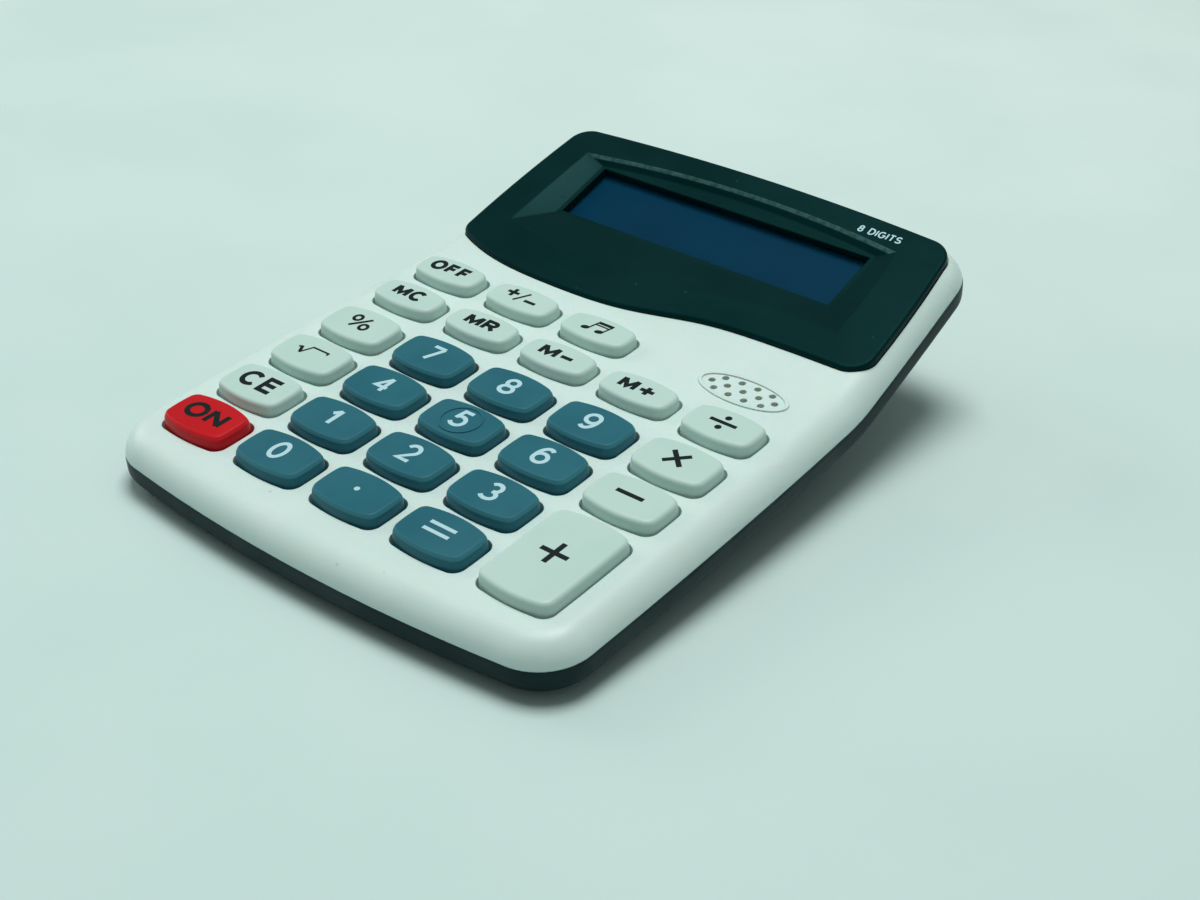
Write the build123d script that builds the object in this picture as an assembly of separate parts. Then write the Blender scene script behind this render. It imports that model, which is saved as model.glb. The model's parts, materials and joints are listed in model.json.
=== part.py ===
"""Small desk calculator with a raised display, 27 moulded keys and a battery under the display.

Lengths are in millimetres and angles in degrees. Most of the calculator is drawn in the key frame:
X to the right, Y up the keypad towards the display, Z out of the casing's white surface, with the
origin in the middle of the four number rows. placed() tips that frame up and lifts it, so that the
finished calculator stands on Z = 0 with its box centred on the origin. The battery housing is drawn
straight in the standing frame.
"""
from build123d import *
import math
import os

# Stance: how the key frame stands on the table.
KEY_TILT = 5.0
KEY_ORIGIN_Y = -31.49
KEY_ORIGIN_Z = 12.5

# Casing outline, measured at its widest line.
FRONT_APEX = -32.2
FRONT_CORNER = (48.8, -28.6)
SIDE_MIDDLE = (48.2, 45.0)
REAR_CORNER = (45.5, 93.0)
REAR_APEX = 95.3
FRONT_CORNER_RADIUS = 9.5
REAR_CORNER_RADIUS = 8.5

# Casing section.
WALL = 1.8
CASE_DEPTH = 8.9
SEAM_DEPTH = 4.1
TOP_ROUND = 5.0
UNDERSIDE_ROUND = 2.4
TONGUE_HEIGHT = 1.0
TONGUE_THICKNESS = 0.8
TONGUE_GAP = 0.1
BEND_Y = 51.5
BEND_RADIUS = 28.0
DISPLAY_TILT = 14.0

# Keys.
COLUMN_PITCH = 17.5
ROW_PITCH = 12.0
MEMORY_ROW = 30.6
UPPER_ROW = 41.5
KEY_SHIFT = 0.2
KEY_HALF_WIDTH = 7.25
KEY_HALF_DEPTH = 5.0
SLIM_HALF_DEPTH = 3.95
DIVIDE_HALF_WIDTH = 7.0
DIVIDE_HALF_DEPTH = 4.5
PLUS_HALF_DEPTH = 10.9
KEY_END_BULGE = 0.66
KEY_SIDE_BULGE = 0.1
KEY_CORNER = 2.1
KEY_SHOULDER = 1.57
KEY_TOP = 2.19
KEY_DRAFT = 0.22
KEY_CHAMFER = 0.32
KEY_GAP = 0.2
FLANGE_EXTRA = 0.8
FLANGE_TOP = -1.85
FLANGE_BOTTOM = -2.9
FIVE_RING_RADIUS = 3.6
FIVE_RING_WIDTH = 0.35
FIVE_RING_HEIGHT = 0.15

# Rubber mat, its carbon pills and the board.
DOME_TOP = -2.92
DOME_TOP_RADIUS = 2.6
DOME_FOOT_RADIUS = 3.5
DOME_WALL = 0.6
MAT_TOP = -4.2
BOARD_TOP = -4.9
BOARD_BOTTOM = -6.1
BOARD_INSET = 2.6
BOARD_FRONT = -24.3
BOARD_REAR = 47.6
MAT_HALF_WIDTH = 43.0
MAT_REAR_LEFT = 45.4
MAT_REAR_RIGHT = 36.2
PILL_RADIUS = 1.6
PILL_TOP = -3.95
PILL_THICKNESS = 0.3

# Display: its frame starts where the bezel's upper face meets DISPLAY_Y, and Z = 0 is that face.
DISPLAY_Y = 48.0
DISPLAY_Z = 0.03
BEZEL_PROUD = 0.9
BEZEL_SUNK = 1.3
BEZEL_ROUND = 0.6
BEZEL_FIT = 0.15
WINDOW_CENTRE = (-0.75, 28.5)
WINDOW_SIZE = (60.7, 13.8)
WINDOW_FRAME = 1.3
WINDOW_FRAME_BOTTOM = -2.6
SCOOP_DEPTH = 1.3
LENS_THICKNESS = 0.5
LCD_SIZE = (65.0, 21.0)
LCD_TOP = -3.2
LCD_LEDGE = -4.15
LCD_LEDGE_WIDTH = 2.2
LCD_BOTTOM = -5.05
REFLECTOR_THICKNESS = 0.15
RIBBON_WIDTH = 40.0
RIBBON_THICKNESS = 0.12

# Speaker.
GRILLE_CENTRE = (30.2, 42.9)
GRILLE_HALF = (8.9, 4.0)
GRILLE_RIM = 0.7
GRILLE_RIM_HEIGHT = 0.25
GRILLE_HOLE_RADIUS = 0.62
BUZZER_CENTRE = (30.2, 42.7)
BUZZER_RADIUS = 6.4
BUZZER_TOP = -2.0
BUZZER_THICKNESS = 0.2

# Screws, given as their places in the key frame.
CASE_SCREW_PLACES = [(-26.25, -25.4), (26.25, -25.4), (-42.5, 51.3), (42.5, 51.3), (-39.5, 85), (39.5, 85)]
CASE_POST_RADIUS = 2.5
CASE_HEAD_RADIUS = 1.8
CASE_HEAD_HEIGHT = 1.3
CASE_SHANK_RADIUS = 0.95
CASE_SEAT = 2.2
CASE_SCREW_REACH = 1.6
BOARD_SCREW_PLACES = [(-45.2, 0), (45.2, 0), (-45.2, 30), (45.2, 30)]
BOARD_POST_RADIUS = 1.4
BOARD_SHANK_RADIUS = 0.65
BOARD_HEAD_RADIUS = 1.3
BOARD_HEAD_HEIGHT = 0.85

# Battery housing, in the standing frame.
HUMP_HALF_WIDTH = 31.0
HUMP_FRONT = 17.0
HUMP_REAR = 39.0
HUMP_BOTTOM = 1.2
HUMP_CORNER = 3.0
HUMP_FLOOR = 2.2
BATTERY_Y = 28.0
BATTERY_Z = 8.3
BATTERY_RADIUS = 5.25
BATTERY_LENGTH = 43.5
BATTERY_NUB = (1.9, 1.0)
CHAMBER_HALF_LENGTH = 24.6
CHAMBER_RADIUS = 5.6
CHAMBER_WALL = 1.0
COVER_HALF_WIDTH = 25.3
COVER_FRONT = 21.2
COVER_THICKNESS = 1.4
COVER_TONGUE = (1.2, 0.8)
COVER_GAP = 0.12
CONTACT_THICKNESS = 0.4
CONTACT_SIZE = 8.0
SPRING_RADIUS = 2.6
SPRING_WIRE = 0.25
LEAD_RADIUS = 0.45
FOOT_RADIUS = 4.0
FRONT_FOOT_PLACES = [(-37.0, -50.0), (37.0, -50.0)]
REAR_FOOT_RADIUS = 2.3
REAR_FOOT_PLACES = [(-28.2, 30.0), (28.2, 30.0)]

# A length longer than the calculator, for blanks and cutters.
LONG = 150.0


def columns(*steps):
    """Column centres, counted in pitches from the middle column."""
    return [COLUMN_PITCH * step for step in steps]


def key_table():
    """Every key as name: (x, y, half width, half depth)."""
    rows = [
        (-1.5 * ROW_PITCH, KEY_HALF_DEPTH, ["key_on", "key_0", "key_point", "key_equals"]),
        (-0.5 * ROW_PITCH, KEY_HALF_DEPTH, ["key_clear_entry", "key_1", "key_2", "key_3"]),
        (0.5 * ROW_PITCH, KEY_HALF_DEPTH, ["key_root", "key_4", "key_5", "key_6", "key_minus"]),
        (1.5 * ROW_PITCH, KEY_HALF_DEPTH, ["key_percent", "key_7", "key_8", "key_9", "key_times"]),
        (MEMORY_ROW, SLIM_HALF_DEPTH, ["key_memory_clear", "key_memory_recall",
                                       "key_memory_minus", "key_memory_plus"]),
        (UPPER_ROW, SLIM_HALF_DEPTH, ["key_off", "key_sign", "key_melody"]),
    ]
    keys = {}
    for y, half_depth, names in rows:
        for x, name in zip(columns(-2, -1, 0, 1, 2), names):
            keys[name] = (x, y + KEY_SHIFT, KEY_HALF_WIDTH, half_depth)
    last_column = 2 * COLUMN_PITCH
    keys["key_divide"] = (last_column, MEMORY_ROW, DIVIDE_HALF_WIDTH, DIVIDE_HALF_DEPTH)
    keys["key_plus"] = (last_column, KEY_SHIFT - ROW_PITCH, KEY_HALF_WIDTH, PLUS_HALF_DEPTH)
    return keys


KEYS = key_table()


def placed(shape):
    """Move a shape from the key frame to the standing frame."""
    return Pos(0, KEY_ORIGIN_Y, KEY_ORIGIN_Z) * Rot(KEY_TILT, 0, 0) * shape


def on_display(shape):
    """Move a shape from the display frame to the key frame."""
    return Pos(0, DISPLAY_Y, DISPLAY_Z) * Rot(DISPLAY_TILT, 0, 0) * shape


def block(low, high):
    """A box between two corners."""
    size = [b - a for a, b in zip(low, high)]
    return Pos(*low) * Box(*size, align=(Align.MIN, Align.MIN, Align.MIN))


def rod(x, y, low, high, radius):
    """An upright cylinder between two heights."""
    return Pos(x, y, low) * Cylinder(radius, high - low, align=(Align.CENTER, Align.CENTER, Align.MIN))


def plate(face, low, high):
    """A flat face, drawn at Z = 0, made solid between two heights."""
    return Pos(0, 0, low) * extrude(face, amount=high - low)


def surface_height(y):
    """Height of the casing's white surface in the key frame, without the soft bend."""
    return max(0.0, (y - BEND_Y) * math.tan(math.radians(DISPLAY_TILT)))


# ---- casing ----

def case_outline(inset):
    """The casing's outline, moved inwards by an inset."""
    front_x = FRONT_CORNER[0] - inset
    front_y = FRONT_CORNER[1] + inset
    rear_x = REAR_CORNER[0] - inset
    rear_y = REAR_CORNER[1] - inset
    side_x = SIDE_MIDDLE[0] - inset
    front = ThreePointArc((-front_x, front_y), (0, FRONT_APEX + inset), (front_x, front_y))
    right = ThreePointArc((front_x, front_y), (side_x, SIDE_MIDDLE[1]), (rear_x, rear_y))
    rear = ThreePointArc((rear_x, rear_y), (0, REAR_APEX - inset), (-rear_x, rear_y))
    left = ThreePointArc((-rear_x, rear_y), (-side_x, SIDE_MIDDLE[1]), (-front_x, front_y))
    face = make_face([front, right, rear, left])
    corners = face.vertices().sort_by(Axis.Y)
    face = fillet(corners[:2], FRONT_CORNER_RADIUS - inset)
    corners = [v for v in face.vertices() if abs(v.Y - rear_y) < 0.01]
    return fillet(corners, REAR_CORNER_RADIUS - inset)


def region_below(depth):
    """Everything deeper than a depth under the bent white surface."""
    rise = math.tan(math.radians(DISPLAY_TILT))
    knee_y = BEND_Y + depth * math.tan(math.radians(DISPLAY_TILT / 2))
    knee = (knee_y, -depth)
    rear = (LONG, -depth + (LONG - knee_y) * rise)
    outline = Polyline((-LONG, -depth), knee, rear, (LONG, -LONG), (-LONG, -LONG), close=True)
    face = make_face(outline)
    bend = face.vertices().sort_by_distance((knee[0], knee[1], 0))[0]
    face = fillet(bend, BEND_RADIUS + depth)
    return extrude(Plane.YZ * face, amount=LONG, both=True)


def rounded_body(inset, top_depth, bottom_depth, top_round, bottom_round):
    """The casing's outer or inner form: an outline prism between two depths, with rolled rims."""
    prism = extrude(case_outline(inset), amount=LONG, both=True)
    body = (prism & region_below(top_depth)) - region_below(bottom_depth)
    for upward, radius in ((1, top_round), (-1, bottom_round)):
        lids = [f for f in body.faces() if f.normal_at().Z * upward > 0.9]
        rim = ShapeList()
        for lid in lids:
            for edge in lid.edges():
                crosses = edge.geom_type == GeomType.LINE and abs(edge.center().X) < 1
                if not crosses:
                    rim.append(edge)
        body = fillet(rim, radius)
    return body


def hump(inset, floor, depth):
    """The battery housing under the display, in the standing frame."""
    low = (-HUMP_HALF_WIDTH + inset, HUMP_FRONT + inset)
    high = (HUMP_HALF_WIDTH - inset, HUMP_REAR - inset)
    solid = block((*low, floor), (*high, LONG))
    solid = fillet(solid.edges().filter_by(Axis.Z), HUMP_CORNER - inset)
    return solid & placed(region_below(depth))


def battery_well(radius, half_length, bottom):
    """A battery-shaped tunnel with its open side down, in the standing frame."""
    tunnel = Pos(0, BATTERY_Y, BATTERY_Z) * Rot(0, 90, 0) * Cylinder(radius, 2 * half_length)
    sides = block((-half_length, BATTERY_Y - radius, bottom), (half_length, BATTERY_Y + radius, BATTERY_Z))
    return tunnel + sides


def key_outline(half_width, half_depth, corner=KEY_CORNER):
    """Barrel-shaped key outline: gently bulged sides and round corners."""
    side_x = half_width - KEY_SIDE_BULGE
    end_y = half_depth - KEY_END_BULGE
    front = ThreePointArc((-side_x, -end_y), (0, -half_depth), (side_x, -end_y))
    right = ThreePointArc((side_x, -end_y), (half_width, 0), (side_x, end_y))
    rear = ThreePointArc((side_x, end_y), (0, half_depth), (-side_x, end_y))
    left = ThreePointArc((-side_x, end_y), (-half_width, 0), (-side_x, -end_y))
    face = make_face([front, right, rear, left])
    return fillet(face.vertices(), corner)


def grille_hole_places():
    """Thirteen holes in three staggered rows of four, five and four."""
    pitch = 3.2
    row_rise = 1.75
    arch = 0.35
    places = []
    for row, count in ((1, 4), (0, 5), (-1, 4)):
        for index in range(count):
            step = index - (count - 1) / 2
            lean = arch * row * (1 - (step / 1.5) ** 2)
            places.append((GRILLE_CENTRE[0] + pitch * step, GRILLE_CENTRE[1] + row * row_rise + lean))
    return places


def top_shell(outer, inner):
    """White upper casing with key openings, speaker grille, display recess and screw posts."""
    shell = (outer - inner) - region_below(SEAM_DEPTH)
    rebate = rounded_body(WALL - TONGUE_THICKNESS - TONGUE_GAP, 0, CASE_DEPTH, TOP_ROUND, UNDERSIDE_ROUND)
    groove_depth = SEAM_DEPTH - TONGUE_HEIGHT - TONGUE_GAP
    shell -= (rebate & region_below(groove_depth)) - region_below(SEAM_DEPTH + 1)
    rim_outer = plate(Ellipse(*GRILLE_HALF), -WALL / 2, GRILLE_RIM_HEIGHT)
    rim_inner = plate(Ellipse(GRILLE_HALF[0] - GRILLE_RIM, GRILLE_HALF[1] - GRILLE_RIM), 0, 1)
    collar = rod(*BUZZER_CENTRE, BUZZER_TOP, -WALL / 2, BUZZER_RADIUS)
    collar -= rod(*BUZZER_CENTRE, BUZZER_TOP - 1, -WALL / 2, BUZZER_RADIUS - 0.8)
    added = [Pos(*GRILLE_CENTRE, 0) * (rim_outer - rim_inner), collar, on_display(lcd_frame())]
    for x, y in CASE_SCREW_PLACES:
        foot = surface_height(y) - SEAM_DEPTH - 3
        post = rod(x, y, foot, surface_height(y) + 3, CASE_POST_RADIUS)
        added.append((post & region_below(WALL / 2) & outer) - region_below(SEAM_DEPTH))
    for x, y in BOARD_SCREW_PLACES:
        added.append(rod(x, y, BOARD_TOP, -WALL / 2, BOARD_POST_RADIUS))
    shell += added
    removed = [on_display(plate(bezel_outline(BEZEL_FIT), -BEZEL_PROUD - BEZEL_SUNK, 5)),
               on_display(window_block(WINDOW_FRAME + BEZEL_FIT, -4, 0))]
    for x, y, half_width, half_depth in KEYS.values():
        opening = key_outline(half_width + KEY_GAP, half_depth + KEY_GAP, KEY_CORNER + KEY_GAP)
        removed.append(Pos(x, y, 0) * plate(opening, -2 * WALL, WALL))
    for x, y in grille_hole_places():
        removed.append(rod(x, y, -2 * WALL, WALL, GRILLE_HOLE_RADIUS))
    for x, y in CASE_SCREW_PLACES:
        seam = surface_height(y) - SEAM_DEPTH
        removed.append(rod(x, y, seam - 1, seam + CASE_SCREW_REACH, CASE_SHANK_RADIUS))
    for x, y in BOARD_SCREW_PLACES:
        removed.append(rod(x, y, BOARD_TOP - 1, FLANGE_TOP - 0.6, BOARD_SHANK_RADIUS))
    shell -= removed
    return placed(shell)


def bottom_shell(outer, inner):
    """Dark lower casing with the battery housing, screw posts and the seam tongue."""
    shell = outer & region_below(SEAM_DEPTH)
    ring = rounded_body(WALL - TONGUE_THICKNESS, 0, CASE_DEPTH, TOP_ROUND, UNDERSIDE_ROUND)
    shell += (ring & region_below(SEAM_DEPTH - TONGUE_HEIGHT)) - region_below(CASE_DEPTH - WALL / 2)
    shell -= inner
    for x, y in CASE_SCREW_PLACES:
        post = rod(x, y, surface_height(y) - 12, surface_height(y) + 3, CASE_POST_RADIUS)
        shell += post & region_below(SEAM_DEPTH) & outer
    for x, y in CASE_SCREW_PLACES:
        seat = surface_height(y) - SEAM_DEPTH - CASE_SEAT
        shell -= rod(x, y, seat - 12, seat, CASE_HEAD_RADIUS + 0.2)
        shell -= rod(x, y, seat - 1, seat + CASE_SEAT + 1, CASE_SHANK_RADIUS + 0.1)
    shell = placed(shell) + hump(0, HUMP_BOTTOM, CASE_DEPTH - WALL / 2)
    shell -= hump(WALL, HUMP_BOTTOM + HUMP_FLOOR, CASE_DEPTH - WALL)
    shell += battery_well(CHAMBER_RADIUS + CHAMBER_WALL, CHAMBER_HALF_LENGTH + CHAMBER_WALL, HUMP_BOTTOM)
    shell -= battery_well(CHAMBER_RADIUS, CHAMBER_HALF_LENGTH, HUMP_BOTTOM - 1)
    return shell - cover_slot()


def cover_slot():
    """The grooved opening that the battery cover slides in, open at the rear."""
    top = HUMP_BOTTOM + COVER_THICKNESS + COVER_GAP
    front = COVER_FRONT - COVER_GAP
    rear = HUMP_REAR + 1
    half_width = COVER_HALF_WIDTH + COVER_GAP
    tongue_half_width = half_width + COVER_TONGUE[0]
    tongue_bottom = top - COVER_TONGUE[1] - 2 * COVER_GAP
    opening = block((-half_width, front, 0), (half_width, rear, top))
    grooves = block((-tongue_half_width, front, tongue_bottom), (tongue_half_width, rear, top))
    return opening + grooves


def battery_cover():
    """Sliding cover with a tongue along each end and finger ridges near its rear edge."""
    top = HUMP_BOTTOM + COVER_THICKNESS
    tongue_half_width = COVER_HALF_WIDTH + COVER_TONGUE[0]
    cover = block((-COVER_HALF_WIDTH, COVER_FRONT, HUMP_BOTTOM), (COVER_HALF_WIDTH, HUMP_REAR, top))
    cover += block((-tongue_half_width, COVER_FRONT, top - COVER_TONGUE[1]),
                   (tongue_half_width, HUMP_REAR, top))
    groove_half_length, groove_depth, first_groove, pitch = 6, 0.4, 2.5, 1.6
    for index in range(4):
        groove_y = HUMP_REAR - first_groove - pitch * index
        cover -= block((-groove_half_length, groove_y - groove_depth, HUMP_BOTTOM - 1),
                       (groove_half_length, groove_y + groove_depth, HUMP_BOTTOM + groove_depth))
    return cover


# ---- display ----

def bezel_outline(grow=0.0):
    """Black panel outline in the display frame: arched rear, bowed sides and a waved front edge."""
    rear_left = (-42.3 - grow, 43.1 + grow)
    rear_right = (42.3 + grow, 43.1 + grow)
    front_left = (-44.9 - grow, 7.9 - grow)
    front_right = (44.9 + grow, 8.5 - grow)
    wave = [(-33.5, 4.1), (-19, 3.0), (-3, 3.9), (12, 7.2), (25, 8.3)]
    rear = ThreePointArc(rear_right, (0, 45.0 + grow), rear_left)
    left = ThreePointArc(rear_left, (-44.1 - grow, 26), front_left)
    front = Spline(front_left, *[(x, y - grow) for x, y in wave], front_right)
    right = ThreePointArc(front_right, (44.1 + grow, 26), rear_right)
    face = make_face([rear, left, front, right])
    for corner, radius in ((rear_left, 4.5), (rear_right, 5.0), (front_left, 3.0), (front_right, 4.6)):
        vertex = face.vertices().sort_by_distance((*corner, 0))[0]
        face = fillet(vertex, radius + grow)
    return face


def scoop():
    """The sloped dish round the window, as the solid that is cut out of the panel."""
    upper = Wire([
        ThreePointArc((33.8, 37.6), (0, 40.0), (-36.4, 36.8)),
        ThreePointArc((-36.4, 36.8), (-37.2, 25), (-37.7, 14.0)),
        Spline((-37.7, 14.0), (-21, 11.2), (-4, 11.2), (8, 13.2), (19, 14.9), (35.6, 15.4)),
        ThreePointArc((35.6, 15.4), (35.3, 26), (33.8, 37.6)),
    ])
    lower = Wire([
        ThreePointArc((30.6, 36.2), (-0.75, 38.4), (-32.0, 35.9)),
        Line((-32.0, 35.9), (-31.9, 20.8)),
        Line((-31.9, 20.8), (30.4, 20.8)),
        Line((30.4, 20.8), (30.6, 36.2)),
    ])
    return Solid.make_loft([lower.moved(Pos(0, 0, -SCOOP_DEPTH)), upper.moved(Pos(0, 0, 0.02))], ruled=True)


def window_block(margin, low, high):
    """A box over the window, wider by a margin on every side."""
    half_width = WINDOW_SIZE[0] / 2 + margin
    half_depth = WINDOW_SIZE[1] / 2 + margin
    x, y = WINDOW_CENTRE
    return block((x - half_width, y - half_depth, low), (x + half_width, y + half_depth, high))


def display_bezel():
    """Glossy black panel with the dished window and a frame that reaches down to the lens."""
    panel = plate(bezel_outline(), -BEZEL_PROUD - BEZEL_SUNK, 0)
    rim = panel.faces().sort_by(Axis.Z)[-1].edges()
    panel = fillet(rim, BEZEL_ROUND)
    panel += window_block(WINDOW_FRAME, WINDOW_FRAME_BOTTOM, -BEZEL_PROUD)
    panel -= scoop()
    panel -= window_block(0, -10, 10)
    return placed(on_display(panel))


def display_lens():
    """Clear window glued under the panel's frame."""
    return placed(on_display(window_block(WINDOW_FRAME, WINDOW_FRAME_BOTTOM - LENS_THICKNESS,
                                          WINDOW_FRAME_BOTTOM)))


def lcd_block(margin, low, high):
    """A box over the whole display glass, wider by a margin on every side."""
    x, y = WINDOW_CENTRE
    half_width = LCD_SIZE[0] / 2 + margin
    half_depth = LCD_SIZE[1] / 2 + margin
    return block((x - half_width, y - half_depth, low), (x + half_width, y + half_depth, high))


def lcd_frame():
    """Rib round the display glass, under the upper casing."""
    clearance = 0.2
    rib = 1.0
    top = -BEZEL_PROUD - WALL / 2
    frame = lcd_block(clearance + rib, LCD_LEDGE, top) - lcd_block(clearance, LCD_LEDGE - 1, top)
    x, y = WINDOW_CENTRE
    passage = block((x - RIBBON_WIDTH / 2 - 1, y - LCD_SIZE[1], LCD_LEDGE - 1),
                    (x + RIBBON_WIDTH / 2 + 1, y, -BEZEL_PROUD - WALL - 0.2))
    return frame - passage


def lcd_panel():
    """Display glass: an upper sheet on a lower sheet that sticks out in front as a contact ledge."""
    upper = lcd_block(0, LCD_LEDGE, LCD_TOP)
    ledge = lcd_block(1, LCD_LEDGE, LCD_TOP + 1)
    front_y = WINDOW_CENTRE[1] - LCD_SIZE[1] / 2 + LCD_LEDGE_WIDTH
    upper -= ledge & block((-LONG, -LONG, LCD_LEDGE), (LONG, front_y, LONG))
    lower = lcd_block(0, LCD_BOTTOM, LCD_LEDGE)
    return placed(on_display(upper + lower))


def lcd_reflector():
    """Silvered foil behind the display glass."""
    return placed(on_display(lcd_block(-1, LCD_BOTTOM - REFLECTOR_THICKNESS, LCD_BOTTOM)))


def display_point(y, z):
    """A point of the display frame as (y, z) in the key frame."""
    turn = math.radians(DISPLAY_TILT)
    return (DISPLAY_Y + y * math.cos(turn) - z * math.sin(turn),
            DISPLAY_Z + y * math.sin(turn) + z * math.cos(turn))


def lcd_ribbon():
    """Flexible ribbon from the board's rear edge over the battery tunnel to the glass ledge."""
    ledge_front = WINDOW_CENTRE[1] - LCD_SIZE[1] / 2
    lift = RIBBON_THICKNESS / 2
    start = display_point(ledge_front, LCD_LEDGE + lift)
    finish = display_point(ledge_front + LCD_LEDGE_WIDTH - 0.3, LCD_LEDGE + lift)
    board = BOARD_TOP + lift
    path = FilletPolyline((BOARD_REAR - 1.6, board), (BOARD_REAR + 0.8, board), (56.5, -1.9), start, finish,
                          radius=1.2)
    ribbon = extrude(Plane.YZ * trace(path, RIBBON_THICKNESS), amount=RIBBON_WIDTH / 2, both=True)
    return placed(Pos(WINDOW_CENTRE[0], 0, 0) * ribbon)


# ---- keys ----

def lofted(lower, upper, low, high):
    """A straight-sided solid between two outlines at two heights."""
    return Solid.make_loft([Pos(0, 0, low) * lower.wire(), Pos(0, 0, high) * upper.wire()], ruled=True)


def key_cap(name):
    """One key: flange under the casing, drafted walls and a chamfered top."""
    x, y, half_width, half_depth = KEYS[name]
    inset = KEY_DRAFT + KEY_CHAMFER
    foot = key_outline(half_width, half_depth)
    shoulder = key_outline(half_width - KEY_DRAFT, half_depth - KEY_DRAFT, KEY_CORNER - KEY_DRAFT / 2)
    top = key_outline(half_width - inset, half_depth - inset, KEY_CORNER - inset / 2)
    flange = key_outline(half_width + FLANGE_EXTRA, half_depth)
    cap = plate(flange, FLANGE_BOTTOM, FLANGE_TOP) + plate(foot, FLANGE_TOP, 0)
    cap += lofted(foot, shoulder, 0, KEY_SHOULDER)
    cap += lofted(shoulder, top, KEY_SHOULDER, KEY_TOP)
    if name == "key_5":
        ring_top = KEY_TOP + FIVE_RING_HEIGHT
        ring = rod(0, 0, KEY_TOP - 0.5, ring_top, FIVE_RING_RADIUS)
        cap += ring - rod(0, 0, KEY_TOP - 0.5, ring_top, FIVE_RING_RADIUS - FIVE_RING_WIDTH)
    return placed(Pos(x, y, 0) * cap)


def post_notches():
    """Room for the front screw posts in the mat's and the board's front edges."""
    return [rod(x, y, BOARD_BOTTOM - 1, 0, CASE_POST_RADIUS + 0.3) for x, y in CASE_SCREW_PLACES[:2]]


def dome_places():
    """Centres of the rubber domes: one under each key, two under the tall plus key."""
    places = []
    for name, (x, y, _, _) in KEYS.items():
        if name == "key_plus":
            places += [(x, y - ROW_PITCH / 2), (x, y + ROW_PITCH / 2)]
        else:
            places.append((x, y))
    return places


def key_mat():
    """Rubber mat with a hollow dome under every key."""
    mat = block((-MAT_HALF_WIDTH, BOARD_FRONT + 0.3, BOARD_TOP), (MAT_HALF_WIDTH, MAT_REAR_RIGHT, MAT_TOP))
    mat += block((-MAT_HALF_WIDTH, 0, BOARD_TOP), (COLUMN_PITCH / 2, MAT_REAR_LEFT, MAT_TOP))
    mat = fillet(mat.edges().filter_by(Axis.Z), 2)
    dome = Pos(0, 0, MAT_TOP) * Cone(DOME_FOOT_RADIUS, DOME_TOP_RADIUS, DOME_TOP - MAT_TOP,
                                     align=(Align.CENTER, Align.CENTER, Align.MIN))
    hollow = Pos(0, 0, BOARD_TOP) * Cone(DOME_FOOT_RADIUS - DOME_WALL / 2, DOME_TOP_RADIUS - DOME_WALL / 2,
                                         PILL_TOP - BOARD_TOP,
                                         align=(Align.CENTER, Align.CENTER, Align.MIN))
    for x, y in dome_places():
        mat += Pos(x, y, 0) * dome
    for x, y in dome_places():
        mat -= Pos(x, y, 0) * hollow
    return placed(mat - post_notches())


def contact_pills():
    """Carbon pill inside each dome, which closes the contact on the board."""
    return placed(Compound([rod(x, y, PILL_TOP - PILL_THICKNESS, PILL_TOP, PILL_RADIUS)
                            for x, y in dome_places()]))


# ---- board and small parts ----

def main_board():
    """Circuit board under the keys, following the casing's outline."""
    board = plate(case_outline(BOARD_INSET), BOARD_BOTTOM, BOARD_TOP)
    board &= block((-LONG, BOARD_FRONT, -LONG), (LONG, BOARD_REAR, LONG))
    for x, y in BOARD_SCREW_PLACES:
        board -= rod(x, y, BOARD_BOTTOM - 1, BOARD_TOP + 1, BOARD_SHANK_RADIUS + 0.1)
    return placed(board - post_notches())


def chip_blob():
    """Resin drop over the chip, under the board."""
    drop = rod(-6, 20, BOARD_BOTTOM - 0.8, BOARD_BOTTOM, 5.5)
    lower_rim = drop.edges().sort_by(Axis.Z)[0]
    return placed(fillet(lower_rim, 0.6))


def chip_parts():
    """Small surface-mounted resistors and capacitors under the board."""
    places = [(8, 12), (8, 16), (8, 20), (8, 24), (14, 14), (14, 20), (-20, 30), (-16, 30)]
    length, width, height = 2.0, 1.25, 0.6
    parts = [block((x, y, BOARD_BOTTOM - height), (x + length, y + width, BOARD_BOTTOM)) for x, y in places]
    return placed(Compound(parts))


def screw(x, y, seat, tip, head_radius, head_height, shank_radius):
    """A pan-head screw that points up, with a cross recess in its head."""
    body = rod(x, y, seat - head_height, seat, head_radius)
    body = fillet(body.edges().sort_by(Axis.Z)[0], head_height * 0.4)
    body += rod(x, y, seat, tip, shank_radius)
    slot = head_radius * 0.6
    for width, depth in ((slot, 0.3), (0.3, slot)):
        body -= block((x - width, y - depth, seat - head_height - 1),
                      (x + width, y + depth, seat - head_height * 0.5))
    return body


def case_screws():
    """The screws that close the casing from below."""
    screws = []
    for x, y in CASE_SCREW_PLACES:
        seam = surface_height(y) - SEAM_DEPTH
        screws.append(screw(x, y, seam - CASE_SEAT, seam + CASE_SCREW_REACH - 0.2, CASE_HEAD_RADIUS,
                            CASE_HEAD_HEIGHT, CASE_SHANK_RADIUS))
    return placed(Compound(screws))


def board_screws():
    """The screws that hold the board to the upper casing."""
    return placed(Compound([screw(x, y, BOARD_BOTTOM, FLANGE_TOP - 0.8, BOARD_HEAD_RADIUS, BOARD_HEAD_HEIGHT,
                                  BOARD_SHANK_RADIUS) for x, y in BOARD_SCREW_PLACES]))


def buzzer_disc():
    """Brass sounder plate glued under the grille."""
    return placed(rod(*BUZZER_CENTRE, BUZZER_TOP - BUZZER_THICKNESS, BUZZER_TOP, BUZZER_RADIUS))


def buzzer_ceramic():
    """Ceramic layer on the sounder plate."""
    bottom = BUZZER_TOP - BUZZER_THICKNESS
    return placed(rod(*BUZZER_CENTRE, bottom - 0.2, bottom, BUZZER_RADIUS - 2))


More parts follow.
